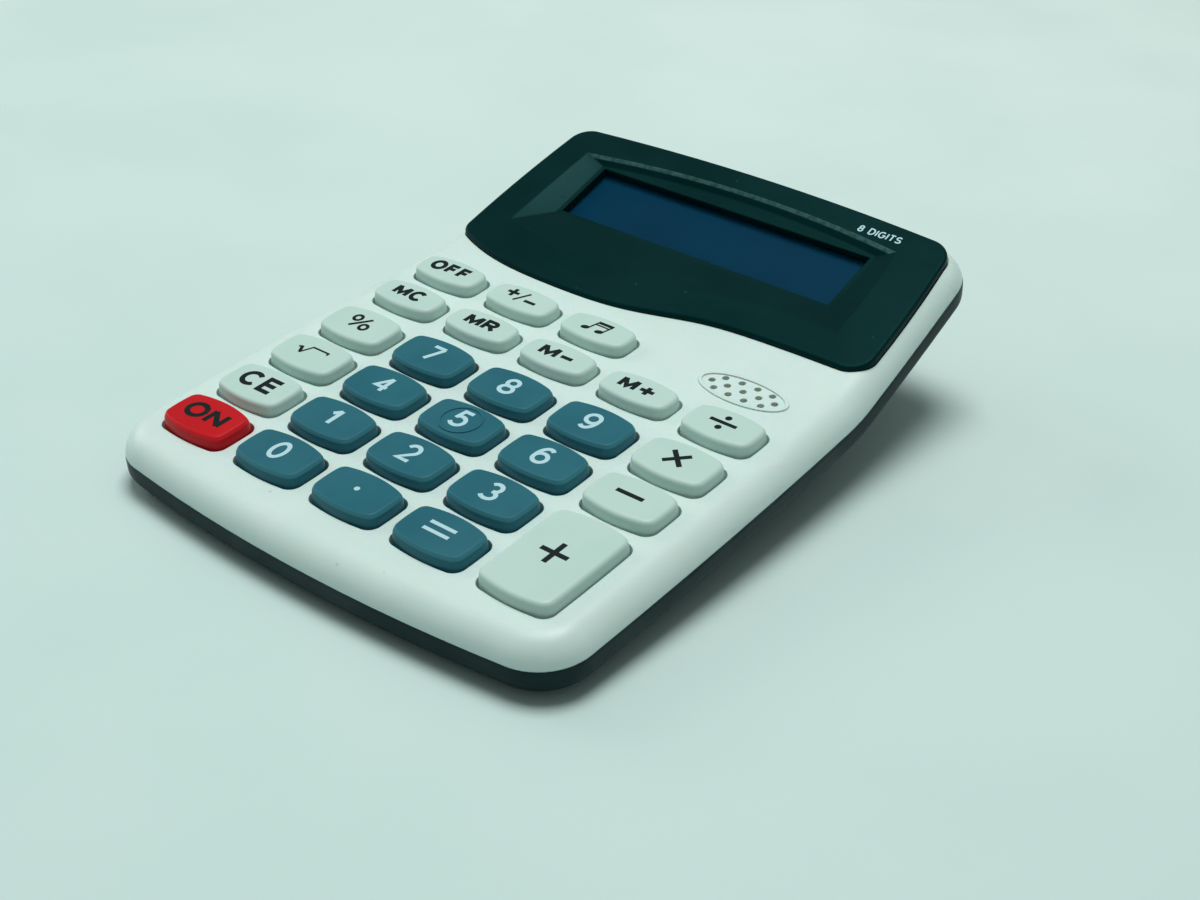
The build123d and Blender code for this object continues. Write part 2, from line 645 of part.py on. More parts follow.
def buzzer_contacts():
    """Two contact posts between the board and the sounder."""
    x, y = BUZZER_CENTRE
    bottom = BUZZER_TOP - BUZZER_THICKNESS
    rim_post = rod(x - BUZZER_RADIUS + 1, y, BOARD_TOP, bottom, 0.6)
    centre_post = rod(x, y, BOARD_TOP, bottom - 0.2, 0.6)
    return placed(Compound([rim_post, centre_post]))


# ---- battery ----

def along_battery(x_low, x_high, radius):
    """A cylinder on the battery's axis between two X places."""
    length = x_high - x_low
    return Pos((x_low + x_high) / 2, BATTERY_Y, BATTERY_Z) * Rot(0, 90, 0) * Cylinder(radius, length)


def battery_ends():
    """X places of the battery's flat end and of the tip of its nub."""
    nub_tip = CHAMBER_HALF_LENGTH - CONTACT_THICKNESS
    flat_end = nub_tip - BATTERY_NUB[1] - BATTERY_LENGTH
    return flat_end, nub_tip


def battery_cell():
    """Small round cell that lies across the calculator."""
    flat_end, nub_tip = battery_ends()
    can = along_battery(flat_end, nub_tip - BATTERY_NUB[1], BATTERY_RADIUS)
    can = fillet(can.edges(), 0.5)
    return can + along_battery(nub_tip - BATTERY_NUB[1] - 0.1, nub_tip, BATTERY_NUB[0])


def contact_plate(x_low):
    """Square contact plate at one end of the battery tunnel."""
    half = CONTACT_SIZE / 2
    return block((x_low, BATTERY_Y - half, BATTERY_Z - half),
                 (x_low + CONTACT_THICKNESS, BATTERY_Y + half, BATTERY_Z + half))


def battery_spring():
    """Coil spring that presses the battery's flat end."""
    flat_end, _ = battery_ends()
    start = -CHAMBER_HALF_LENGTH + CONTACT_THICKNESS + SPRING_WIRE
    length = flat_end - SPRING_WIRE - start
    turns = 3
    helix = Helix(pitch=length / turns, height=length, radius=SPRING_RADIUS)
    wire = sweep(Plane(helix @ 0, z_dir=helix % 0) * Circle(SPRING_WIRE), path=helix)
    return Pos(start, BATTERY_Y, BATTERY_Z) * Rot(0, 90, 0) * wire


def lead(side):
    """Insulated lead from a contact plate, over the tunnel's end, to the board's rear edge."""
    x = side * (CHAMBER_HALF_LENGTH + CHAMBER_WALL + LEAD_RADIUS + 0.5)
    # Steps from the battery's middle: solder tab, over the corner, along the tunnel, board edge.
    steps = [(0, 0, 1.5), (0, -0.6, 4.6), (0.6, -5.0, 5.2), (2.2, -9.4, 3.9)]
    points = [(x - side * inward, BATTERY_Y + back, BATTERY_Z + up) for inward, back, up in steps]
    path = FilletPolyline(*points, radius=[1.6, 4.5])
    return sweep(Plane(path @ 0, z_dir=path % 0) * Circle(LEAD_RADIUS), path=path)


# ---- feet ----

def feet(places, radius, cut):
    """Rubber feet under the casing, trimmed where they meet it."""
    pads = []
    for x, y in places:
        pad = rod(x, y, 0, 4, radius)
        pad = fillet(pad.edges().sort_by(Axis.Z)[0], 0.4)
        pads.append(pad - cut)
    return Compound(pads)


def build():
    """Every sub-part as name: shape."""
    outer = rounded_body(0, 0, CASE_DEPTH, TOP_ROUND, UNDERSIDE_ROUND)
    inner = rounded_body(WALL, WALL, CASE_DEPTH - WALL, TOP_ROUND - WALL, UNDERSIDE_ROUND - WALL)
    housing = block((-HUMP_HALF_WIDTH, HUMP_FRONT, HUMP_BOTTOM), (HUMP_HALF_WIDTH, HUMP_REAR, LONG))
    parts = {
        "top_shell": top_shell(outer, inner),
        "bottom_shell": bottom_shell(outer, inner),
        "battery_cover": battery_cover(),
        "display_bezel": display_bezel(),
        "display_lens": display_lens(),
        "lcd_panel": lcd_panel(),
        "lcd_reflector": lcd_reflector(),
        "lcd_ribbon": lcd_ribbon(),
        "key_mat": key_mat(),
        "contact_pills": contact_pills(),
        "main_board": main_board(),
        "chip_blob": chip_blob(),
        "chip_parts": chip_parts(),
        "case_screws": case_screws(),
        "board_screws": board_screws(),
        "buzzer_disc": buzzer_disc(),
        "buzzer_ceramic": buzzer_ceramic(),
        "buzzer_contacts": buzzer_contacts(),
        "battery_cell": battery_cell(),
        "battery_negative_plate": contact_plate(-CHAMBER_HALF_LENGTH),
        "battery_positive_plate": contact_plate(CHAMBER_HALF_LENGTH - CONTACT_THICKNESS),
        "battery_spring": battery_spring(),
        "battery_lead_red": lead(1),
        "battery_lead_black": lead(-1),
        "front_feet": feet(FRONT_FOOT_PLACES, FOOT_RADIUS, placed(outer)),
        "rear_feet": feet(REAR_FOOT_PLACES, REAR_FOOT_RADIUS, housing),
    }
    for name in KEYS:
        parts[name] = key_cap(name)
    return parts


os.makedirs("parts", exist_ok=True)
for part_name, part_shape in build().items():
    export_step(part_shape, f"parts/{part_name}.step")
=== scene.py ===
# %% [markdown]
# # A small desk calculator
# The engineering model already holds every part at its real size and place. This script loads it as
# a fixed frame and gives it its looks: soft moulded key caps, printed legends, plastics, rubber,
# metal, a pale table and soft light. Everything is in metres.

# %% Load the frame
import json
import math

import bpy
from mathutils import Matrix, Vector


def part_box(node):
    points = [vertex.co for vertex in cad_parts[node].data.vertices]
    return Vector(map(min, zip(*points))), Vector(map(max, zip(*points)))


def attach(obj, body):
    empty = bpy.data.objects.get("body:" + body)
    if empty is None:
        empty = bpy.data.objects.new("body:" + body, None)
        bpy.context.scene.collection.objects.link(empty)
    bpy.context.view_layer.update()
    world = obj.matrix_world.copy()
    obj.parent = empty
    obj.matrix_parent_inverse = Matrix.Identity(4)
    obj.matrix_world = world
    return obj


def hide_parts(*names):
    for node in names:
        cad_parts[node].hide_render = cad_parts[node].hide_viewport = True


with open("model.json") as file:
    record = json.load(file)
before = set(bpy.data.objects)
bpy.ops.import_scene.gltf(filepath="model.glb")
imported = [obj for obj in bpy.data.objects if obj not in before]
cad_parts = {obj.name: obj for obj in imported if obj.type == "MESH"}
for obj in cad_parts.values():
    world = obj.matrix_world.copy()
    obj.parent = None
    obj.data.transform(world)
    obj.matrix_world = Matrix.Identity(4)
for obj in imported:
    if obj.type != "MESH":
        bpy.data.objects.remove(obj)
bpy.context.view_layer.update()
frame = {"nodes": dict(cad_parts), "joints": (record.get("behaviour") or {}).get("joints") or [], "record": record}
nodes = frame["nodes"]
MM = 0.001

# %% [markdown]
# ## Two drawing boards
# The keypad is tipped up a few degrees, and the display panel is tipped further. It is easier to
# draw on a tilted board and turn the result than to work out tilted numbers by hand. The keypad's
# tilt is read from the direction in which a key moves, and each board's height from the parts.


# %% Tilted boards
class Board:
    """A drawing board turned about X. Points on it are (x, y, z) in millimetres."""

    def __init__(self, tilt, origin=(0, 0, 0)):
        self.matrix = Matrix.Translation(Vector(origin)) @ Matrix.Rotation(tilt, 4, "X")
        self.inverse = self.matrix.inverted()

    def place(self, point):
        return self.matrix @ (Vector(point) * MM)

    def read(self, point):
        return (self.inverse @ Vector(point)) / MM

    def corners_of(self, node):
        return [self.read(vertex.co) for vertex in nodes[node].data.vertices]


press_axis = Vector(frame["joints"][0]["axis"])
KEY_TILT = math.atan2(press_axis.y, -press_axis.z)
DISPLAY_TURN = math.radians(14)  # how much further the display is tipped than the keypad
DISPLAY_TILT = KEY_TILT + DISPLAY_TURN
KEY_TOP = 2.19  # key tops above the casing's surface, in millimetres
level = max(p.z for p in Board(KEY_TILT).corners_of("key_4")) - KEY_TOP
keyboard = Board(KEY_TILT, Matrix.Rotation(KEY_TILT, 3, "X") @ Vector((0, 0, level * MM)))
panel_level = max(p.z for p in Board(DISPLAY_TILT).corners_of("display_bezel"))
panel = Board(DISPLAY_TILT, Matrix.Rotation(DISPLAY_TILT, 3, "X") @ Vector((0, 0, panel_level * MM)))
print("keypad tilt", round(math.degrees(KEY_TILT), 2), "casing surface", round(level, 2), "mm up the board")

# %% [markdown]
# ## Shader sums
# A finish is a network of nodes. Written as Python sums it stays readable, so a small class wraps a
# socket and turns +, -, * and > into Math nodes. The reflected forms let a plain number come first,
# as in 1 - patches.


# %% A signal
class Signal:
    """A number or colour that varies over a surface."""

    def __init__(self, finish, socket):
        self.finish = finish
        self.socket = socket

    def _math(self, operation, first, second):
        return self.finish.node("ShaderNodeMath", {"operation": operation}, {0: first, 1: second}).signal()

    def __add__(self, other):
        return self._math("ADD", self, other)

    __radd__ = __add__

    def __mul__(self, other):
        return self._math("MULTIPLY", self, other)

    __rmul__ = __mul__

    def __sub__(self, other):
        return self._math("SUBTRACT", self, other)

    def __rsub__(self, other):
        return self._math("SUBTRACT", other, self)

    def __gt__(self, other):
        return self._math("GREATER_THAN", self, other)

    def clamp(self):
        return self._math("MINIMUM", self._math("MAXIMUM", self, 0.0), 1.0)


# %% [markdown]
# ## One method for every other node
# Any node is made the same way: choose its type, change its settings, then give its sockets values
# or links. The settings come first because they can change which sockets a node has. What varies
# over a surface goes only into the few sockets named here, and plain numbers are set on the shader.


# %% A network of nodes
finishes = {}
FEEDS = {"colour": "Base Color", "roughness": "Roughness", "normal": "Normal", "metallic": "Metallic",
         "alpha": "Alpha"}


class Made:
    """A node that was just made."""

    def __init__(self, finish, node):
        self.finish = finish
        self.node = node

    def signal(self, output=0):
        return Signal(self.finish, self.node.outputs[output])


class Network:
    """One material, its shader and the nodes that feed it."""

    def __init__(self, name, **constants):
        self.material = bpy.data.materials.new(name)
        finishes[name] = self.material
        self.material.use_nodes = True
        self.tree = self.material.node_tree
        self.shader = self.tree.nodes["Principled BSDF"]
        for key, value in constants.items():
            socket_name = key.replace("_", " ").title().replace("Ior", "IOR")
            self.shader.inputs[socket_name].default_value = value

    def node(self, kind, settings=None, inputs=None):
        node = self.tree.nodes.new(kind)
        for key, value in (settings or {}).items():
            setattr(node, key, value)
        for key, value in (inputs or {}).items():
            if isinstance(value, Signal):
                self.tree.links.new(value.socket, node.inputs[key])
            else:
                node.inputs[key].default_value = value
        return Made(self, node)

    def feed(self, **signals):
        for key, value in signals.items():
            self.tree.links.new(value.socket, self.shader.inputs[FEEDS[key]])
        return self.material


# %% [markdown]
# ## Patterns that the finishes share
# Real surfaces vary: cloudy pigment, stray specks, fine grain, rounded edges. Each pattern is a few
# nodes that answer with a number for every spot, and its size is given in millimetres. A smooth
# threshold turns soft noise into patches. Colours are mixed by a Mix node, because a Math node would
# turn them grey.


# %% Patterns
MIX_SHARE, MIX_FIRST, MIX_SECOND, MIX_RESULT = 0, 6, 7, 2  # a Mix node's colour sockets, by number


class Finish(Network):
    """A material with the patterns that finishes are made from."""

    def place(self):
        return self.node("ShaderNodeTexCoord").signal("Object")

    def stretched(self, scale):
        return self.node("ShaderNodeMapping", None, {"Vector": self.place(), "Scale": scale}).signal()

    def noise(self, size, detail=2.0, where=None):
        """Soft noise whose blobs are about size millimetres across, from 0 to 1."""
        inputs = {"Vector": where or self.place(), "Scale": 1 / (size * MM), "Detail": detail}
        return self.node("ShaderNodeTexNoise", None, inputs).signal()

    def specks(self, size, share):
        """1 on scattered round specks, one to each cell of size millimetres, on a share of the cells."""
        inputs = {"Vector": self.place(), "Scale": 1 / (size * MM)}
        cells = self.node("ShaderNodeTexVoronoi", {"feature": "F1"}, inputs)
        chosen = self.node("ShaderNodeSeparateColor", None, {0: cells.signal("Color")}).signal(0)
        near = 1 - self.ramp(cells.signal("Distance"), 0.05, 0.16)
        return near * (chosen > (1 - share))

    def ramp(self, value, low, high):
        """A smooth step from 0 at low to 1 at high."""
        inputs = {"Value": value, "From Min": low, "From Max": high}
        return self.node("ShaderNodeMapRange", {"interpolation_type": "SMOOTHSTEP"}, inputs).signal()

    def blend(self, share, first, second):
        """Two colours mixed by a share."""
        inputs = {MIX_SHARE: share}
        for index, colour in ((MIX_FIRST, first), (MIX_SECOND, second)):
            inputs[index] = colour if isinstance(colour, Signal) else (*colour, 1.0)
        return self.node("ShaderNodeMix", {"data_type": "RGBA"}, inputs).signal(MIX_RESULT)

    def bump(self, height, depth, soft=0.0):
        """Relief of depth millimetres, on edges rounded by soft millimetres."""
        inputs = {"Height": height, "Distance": depth * MM}
        if soft:
            inputs["Normal"] = self.node("ShaderNodeBevel", {"samples": 4}, {"Radius": soft * MM}).signal()
        return self.node("ShaderNodeBump", None, inputs).signal()

    def edge(self):
        """The piece's own rim attribute: 1 on its rounded edges."""
        return self.node("ShaderNodeAttribute", {"attribute_name": "rim"}).signal("Fac")


# %% [markdown]
# ## Moulded plastics
# The casing is injection-moulded with a very fine satin texture. Up close it isn't one colour: the pigment is
# faintly cloudy, handling leaves patches that shine a little more, and dust sits in the texture. One recipe with
# different colours and amounts makes the white casing, the dark tray and the keys. The keys also get a painted
# highlight on their rims, a lighter colour where light would catch the edges.


# %% Plastic finishes
RIM_HIGHLIGHT = 0.8  # how far a rim goes to its lighter colour, a painted highlight
SPECK_STRENGTH = 0.5


def moulded(name, colour, cloud, grain=0.35, rough=0.42, gloss_patch=0.10, dust=None, rim=None, depth=0.012,
            soft=0.0, **constants):
    """Satin plastic. cloud is the colour of its thin patches, dust that of its specks, and soft how far
    its edges are rounded, in millimetres."""
    finish = Finish(name, **constants)
    tint = finish.blend(finish.ramp(finish.noise(9, 3), 0.35, 0.7), colour, cloud)
    if rim:
        # Painted highlight: the rounded rims are lightened towards the rim colour, where light would catch them.
        tint = finish.blend(finish.edge() * RIM_HIGHLIGHT, tint, rim)
    if dust:
        tint = finish.blend(finish.specks(2.6, 0.05) * SPECK_STRENGTH, tint, dust)
    handled = finish.ramp(finish.noise(16, 2), 0.45, 0.62)
    fine = finish.noise(grain, 2)
    roughness = rough - handled * gloss_patch + (fine - 0.5) * 0.10
    scratches = finish.ramp(finish.noise(1.0, 2, finish.stretched((0.15, 1.0, 1.0))), 0.62, 0.75)
    relief = finish.bump(fine + scratches * 0.15, depth, soft=soft)
    return finish.feed(colour=tint, roughness=roughness, normal=relief)


moulded("shell_white", (0.70, 0.82, 0.785), (0.68, 0.81, 0.77), rough=0.42, dust=(0.45, 0.50, 0.47),
        specular_ior_level=0.35, subsurface_weight=0.25, subsurface_scale=0.9 * MM, soft=0.25)
moulded("shell_dark", (0.002, 0.018, 0.020), (0.004, 0.025, 0.027), rough=0.5, dust=(0.05, 0.09, 0.09),
        specular_ior_level=0.15)
# The keys' rim colours are painted highlights on their edges.
moulded("key_pale", (0.55, 0.71, 0.65), (0.52, 0.69, 0.63), rough=0.45, rim=(0.62, 0.77, 0.72),
        specular_ior_level=0.25)
moulded("key_blue", (0.020, 0.140, 0.185), (0.017, 0.125, 0.170), rough=0.46, rim=(0.06, 0.24, 0.29),
        specular_ior_level=0.2)
moulded("key_red", (0.60, 0.004, 0.010), (0.54, 0.004, 0.010), rough=0.42, rim=(0.78, 0.02, 0.03),
        specular_ior_level=0.2)
print("plastics:", list(finishes))

# %% [markdown]
# ## The display's gloss
# The panel is smoother than the casing, so it shows soft highlights and a few hairline scratches and
# finger smears. Behind the clear window the glass looks deep blue: a dark filter film with a faintly
# uneven tone. The window itself is almost only its reflection, so it is a thin transparent sheet.
# A mottled catch light is painted along the upper part of the scoop's rear wall, as a painted highlight where that
# wall would reflect the room in front. That wall is found by three tests: it is high, it faces forward, and it
# lies near the panel's rear edge.


# %% Panel, window and display glass
LEDGE_DEPTH = 9.08 * MM  # the wall with the painted catch light lies no further than this from the panel's rear edge
ledge_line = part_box("display_bezel")[1][1] - LEDGE_DEPTH


def panel_finish():
    """Semi-gloss near-black plastic with smears, hairlines, dust specks and a painted catch light along the rear
    wall of the scoop.
    """
    finish = Finish("bezel_black", specular_ior_level=0.09, specular_tint=(0.15, 0.85, 0.85, 1))
    place = finish.node("ShaderNodeSeparateXYZ", None, {0: finish.place()})
    normal = finish.node("ShaderNodeNewGeometry").signal("Normal")
    facing = finish.node("ShaderNodeSeparateXYZ", None, {0: normal})
    height = place.signal(2) * math.cos(DISPLAY_TILT) - place.signal(1) * math.sin(DISPLAY_TILT)
    high = finish.ramp(height, (panel_level - 0.60) * MM, (panel_level - 0.40) * MM)
    ledge = high * finish.ramp(0 - facing.signal(1), 0.40, 0.65) * (place.signal(1) > ledge_line)
    # Painted highlight: the scoop's rear wall is painted lighter in a mottled strip, standing in for a catch
    # light.
    painted_catch_light = ledge * (finish.ramp(finish.noise(1.1, 3), 0.3, 0.7) * 0.5 + 0.45)
    cloudy = finish.ramp(finish.noise(12, 3), 0.35, 0.7)
    tint = finish.blend(cloudy, (0.0006, 0.017, 0.018), (0.001, 0.020, 0.021))
    tint = finish.blend(finish.specks(1.9, 0.04) * 0.3, tint, (0.06, 0.14, 0.13))
    tint = finish.blend(painted_catch_light, tint, (0.06, 0.15, 0.15))
    smear = finish.ramp(finish.noise(14, 3, finish.stretched((0.6, 1.0, 1.0))), 0.42, 0.65)
    hairline = finish.ramp(finish.noise(0.8, 2, finish.stretched((0.08, 1.0, 1.0))), 0.66, 0.72)
    roughness = 0.30 + smear * 0.12 + hairline * 0.15
    return finish.feed(colour=tint, roughness=roughness, normal=finish.bump(finish.noise(0.6, 2), 0.004, 0.5))


def window_finish():
    """Clear sheet: mostly see-through, with a faint smear on it."""
    finish = Finish("lens_clear", ior=1.45, specular_ior_level=0.05)
    smear = finish.ramp(finish.noise(10, 3), 0.4, 0.7)
    tint = finish.blend(smear, (0.002, 0.06, 0.10), (0.004, 0.07, 0.11))
    return finish.feed(colour=tint, roughness=0.12 + smear * 0.15, alpha=0.05 + smear * 0.03)


def display_glass_finish():
    """Deep blue filter film over the display glass."""
    finish = Finish("display_glass", specular_ior_level=0.04)
    tone = finish.ramp(finish.noise(22, 2), 0.3, 0.75)
    tint = finish.blend(tone, (0.0005, 0.038, 0.085), (0.0005, 0.032, 0.074))
    tint = finish.blend(finish.specks(3.4, 0.04) * 0.5, tint, (0.05, 0.18, 0.24))
    ripple = finish.bump(finish.noise(4, 1), 0.003)
    return finish.feed(colour=tint, roughness=0.35 + tone * 0.1, normal=ripple)


panel_finish()
window_finish()
display_glass_finish()
print("display finishes:", list(finishes)[-3:])

# %% [markdown]
# ## Rubber, metal and what is inside
# Nobody sees the inside from the table, but the parts are there, so they get honest finishes too:
# cloudy silicone, lacquered board, plated and brushed metal, brass, resin and a printed cell wrap.


# %% Other finishes
def soft_rubber(name, colour, cloud):
    """Dull rubber with mould bloom."""
    finish = Finish(name)
    bloom = finish.ramp(finish.noise(3, 3), 0.4, 0.75)
    return finish.feed(colour=finish.blend(bloom, colour, cloud), roughness=0.72 + bloom * 0.15,
                       normal=finish.bump(finish.noise(0.4, 2), 0.02))


BRUSHED = (1.0, 0.1, 1.0)  # grain drawn out along Y


def bare_metal(name, colour, worn, rough):
    """Plated or rolled metal with a brushed grain and dull spots."""
    finish = Finish(name)
    grain = finish.noise(0.25, 2, finish.stretched(BRUSHED))
    dull = finish.ramp(finish.noise(2.5, 3), 0.5, 0.7)
    return finish.feed(colour=finish.blend(dull, colour, worn), roughness=rough + grain * 0.12 + dull * 0.2,
                       metallic=1.0 - dull * 0.15, normal=finish.bump(grain, 0.004))


def lacquered_board():
    """Green board with darker copper tracks under the lacquer."""
    finish = Finish("board_green", coat_weight=0.4, coat_roughness=0.2)
    inputs = {"Vector": finish.place(), "Scale": 1 / (2.2 * MM)}
    cells = finish.node("ShaderNodeTexVoronoi", {"feature": "F1", "distance": "MANHATTAN"}, inputs)
    track = finish.ramp(cells.signal("Distance"), 0.30, 0.36)
    return finish.feed(colour=finish.blend(track, (0.02, 0.12, 0.05), (0.05, 0.20, 0.08)),
                       roughness=0.35 + track * 0.1, normal=finish.bump(track, 0.03))


BAND_LENGTH = 13.2  # the cell's coloured band, from its end towards +X, in millimetres
BAND_EDGE = 0.2


def wrapped_cell():
    """Plain printed wrap, with a band of metallic colour over one end."""
    finish = Finish("battery_wrap", coat_weight=0.5)
    x = finish.node("ShaderNodeSeparateXYZ", None, {0: finish.place()}).signal(0)
    band_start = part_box("battery_cell")[1][0] - BAND_LENGTH * MM
    band = finish.ramp(x, band_start - BAND_EDGE * MM, band_start + BAND_EDGE * MM)
    scuff = finish.ramp(finish.noise(2, 3), 0.55, 0.7)
    tint = finish.blend(band, (0.02, 0.06, 0.20), (0.55, 0.42, 0.16))
    return finish.feed(colour=finish.blend(scuff * 0.1, tint, (0.4, 0.4, 0.4)), roughness=0.28 + scuff * 0.2,
                       metallic=band * 0.6)


DULL = {
    "mat_rubber": ((0.62, 0.64, 0.62), (0.70, 0.71, 0.69)),
    "pill_carbon": ((0.02, 0.02, 0.02), (0.05, 0.05, 0.05)),
    "foot_rubber": ((0.03, 0.04, 0.04), (0.07, 0.08, 0.08)),
    "lead_red": ((0.45, 0.015, 0.015), (0.50, 0.03, 0.03)),
    "lead_black": ((0.015, 0.015, 0.015), (0.03, 0.03, 0.03)),
    "chip_resin": ((0.01, 0.01, 0.01), (0.02, 0.02, 0.02)),
    "chip_ceramic": ((0.40, 0.30, 0.18), (0.48, 0.40, 0.28)),
    "sounder_ceramic": ((0.72, 0.72, 0.68), (0.66, 0.66, 0.60)),
    "ribbon_film": ((0.42, 0.34, 0.16), (0.46, 0.38, 0.20)),
}
METAL = {
    "screw_steel": ((0.55, 0.56, 0.57), (0.36, 0.34, 0.32), 0.3),
    "contact_plated": ((0.72, 0.71, 0.68), (0.50, 0.48, 0.44), 0.22),
    "sounder_brass": ((0.78, 0.57, 0.22), (0.55, 0.38, 0.15), 0.3),
    "foil_silver": ((0.80, 0.82, 0.82), (0.70, 0.71, 0.70), 0.18),
}
for name, (colour, cloud) in DULL.items():
    soft_rubber(name, colour, cloud)
for name, (colour, worn, rough) in METAL.items():
    bare_metal(name, colour, worn, rough)
lacquered_board()
wrapped_cell()
print("finishes in all:", len(finishes))

# %% [markdown]
# ## Dress the parts that keep their own shape
# The record names one material slot for every node, and the finishes above carry the same names, so
# one loop can dress them all.

# %% Assign finishes
for subpart in frame["record"]["subparts"]:
    part = nodes[subpart["node"]]
    part.data.materials.clear()
    part.data.materials.append(finishes[subpart["material_slot"]])

# %% [markdown]
# ## Key caps
# Each key is a barrel-shaped cap: gently bulged sides, round corners, drafted walls and a soft rim.
# A cap is built as rings of points that all follow one outline, each ring at its own height and
# inset. The outline is a smaller barrel grown by a corner radius, so every inset is an exact offset
# and the walls stay even. Its sizes are read from the engineering part that it stands for. The dark
# and red keys have a crisp chamfer, the pale ones a rounder shoulder.


# %% Cap outline
SIDE_STEPS = 10
CORNER_STEPS = 6
CORNER_RADIUS = 2.1
END_BULGE = 0.66
SIDE_BULGE = 0.1


def bulged_side(start, finish, bulge):
    """Points and outward directions along one shallow arc, anticlockwise round the key."""
    chord = finish - start
    length = chord.length
    along = chord / length
    outward = Vector((along.y, -along.x))
    radius = (length * length / 4 + bulge * bulge) / (2 * bulge)
    centre = (start + finish) / 2 + outward * (bulge - radius)
    half = math.asin(length / 2 / radius)
    side = []
    for step in range(SIDE_STEPS + 1):
        angle = half * (2 * step / SIDE_STEPS - 1)
        direction = outward * math.cos(angle) + along * math.sin(angle)
        side.append((centre + direction * radius, direction))
    return side


def cap_outline(half_width, half_depth):
    """(core point, outward direction) pairs round a key; a ring is core + direction * distance."""
    x = half_width - CORNER_RADIUS - SIDE_BULGE
    y = half_depth - CORNER_RADIUS - END_BULGE
    corners = [Vector((-x, -y)), Vector((x, -y)), Vector((x, y)), Vector((-x, y))]
    bulges = [END_BULGE, SIDE_BULGE, END_BULGE, SIDE_BULGE]
    sides = [bulged_side(corners[i], corners[(i + 1) % 4], bulges[i]) for i in range(4)]
    outline = []
    for index, side in enumerate(sides):
        outline += side
        corner, leaving = side[-1]
        arriving = sides[(index + 1) % 4][0][1]
        turn = leaving.angle_signed(arriving)
        for step in range(1, CORNER_STEPS):
            direction = leaving.copy()
            direction.rotate(Matrix.Rotation(-turn * step / CORNER_STEPS, 2))
            outline.append((corner, direction))
    return outline


print("points round one cap:", len(cap_outline(7, 5)))

# %% [markdown]
# ## Cap profiles
# A profile lists the rings from the hidden foot to the flat top. The casing holds a real cap in by a flange at its
# foot, wider than the opening, so the first rings stand out. The top rings make either a crisp chamfer or a round
# shoulder, and also say how much painted highlight each ring's rim gets.

# %% Profiles: height, inset, rim share
FLANGE = [(-2.9, -0.3, 0), (-1.85, -0.3, 0), (-1.85, 0.0, 0), (0.0, 0.0, 0)]
CRISP = FLANGE + [(1.45, 0.20, 0), (1.58, 0.25, 0.6), (1.68, 0.31, 0.9), (2.06, 0.50, 0.9),
                  (2.15, 0.57, 0.6), (2.19, 0.68, 0.1), (2.19, 0.9, 0)]
SOFT = FLANGE + [(1.35, 0.14, 0), (1.60, 0.19, 0.3), (1.82, 0.30, 0.5), (1.99, 0.45, 0.6),
                 (2.10, 0.64, 0.5), (2.17, 0.86, 0.3), (2.19, 1.1, 0.1), (2.19, 1.4, 0)]
print("rings of a crisp and a soft cap:", len(CRISP), len(SOFT))

# %% [markdown]
# ## Rings into a cap
# A box with a Bevel has straight sides and one kind of rim. Bridging the rings directly follows the
# bulged sides, takes any profile, and lets the mesh carry the rim share for its finish to read.


# %% Cap mesh
def cap_mesh(name, centre, half_width, half_depth, profile):
    """A closed cap from rings of (height, inset, rim share), with flat top and foot."""
    outline = cap_outline(half_width, half_depth)
    count = len(outline)
    points, faces, rim = [], [], []
    for height, inset, share in profile:
        for core, direction in outline:
            spot = core + direction * (CORNER_RADIUS - inset)
            points.append(keyboard.place((centre.x + spot.x, centre.y + spot.y, height)))
            rim.append(share)
    for row in range(len(profile) - 1):
        for index in range(count):
            after = (index + 1) % count
            low, high = row * count, (row + 1) * count
            faces.append((low + index, low + after, high + after, high + index))
    for height, ring, reverse in ((profile[0][0], 0, True), (profile[-1][0], len(profile) - 1, False)):
        hub = len(points)
        points.append(keyboard.place((centre.x, centre.y, height)))
        rim.append(0.0)
        for index in range(count):
            pair = (ring * count + index, ring * count + (index + 1) % count)
            faces.append((pair[1], pair[0], hub) if reverse else (*pair, hub))
    mesh = bpy.data.meshes.new(name)
    mesh.from_pydata(points, [], faces)
    mesh.attributes.new("rim", "FLOAT", "POINT").data.foreach_set("value", rim)
    mesh.polygons.foreach_set("use_smooth", [True] * len(mesh.polygons))
    mesh.set_sharp_from_angle(angle=math.radians(40))
    return mesh


def add_piece(name, mesh, material, body):
    """A finished piece that rides on a body."""
    piece = bpy.data.objects.new(name, mesh)
    bpy.context.scene.collection.objects.link(piece)
    if material:
        mesh.materials.append(material)
    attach(piece, body)
    return piece


# %% [markdown]
# ## One cap for each key
# The engineering model already has each key as a plain solid, so nothing is placed by hand. A key's
# foot ring gives its middle and its size. The new cap rides on the key's body, so it moves when the
# key is pressed, and stands for the plain solid, which is then hidden.

# %% Build the caps
FOOT_BAND = 0.05  # points this close to the casing's surface belong to the foot ring
key_slots = {part["node"]: part["material_slot"] for part in frame["record"]["subparts"]
             if part["node"].startswith("key_") and part["node"] != "key_mat"}
caps = {}
for node, slot in key_slots.items():
    foot = [p for p in keyboard.corners_of(node) if abs(p.z) < FOOT_BAND]
    low = Vector([min(p[i] for p in foot) for i in range(2)])
    high = Vector([max(p[i] for p in foot) for i in range(2)])
    centre, half = (low + high) / 2, (high - low) / 2
    profile = SOFT if slot == "key_pale" else CRISP
    mesh = cap_mesh("cap_" + node[4:], centre, half.x, half.y, profile)
    cap = add_piece("cap_" + node[4:], mesh, finishes[slot], node)
    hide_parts(node)
    caps[node] = centre
print("caps:", len(caps), "the last is", node, [round(2 * c, 2) for c in half], "mm")

# %% [markdown]
# ## Printed legends
# Legends are ink printed on the caps, a few hundredths of a millimetre proud. A Text object is the
# usual way, but the 1 and the M of the font that comes with Blender are a different shape from the
# ones on such keys. So a plain bold lettering is drawn, with a few strokes for each sign. First the
# ink, which has small pinholes where it is thin.


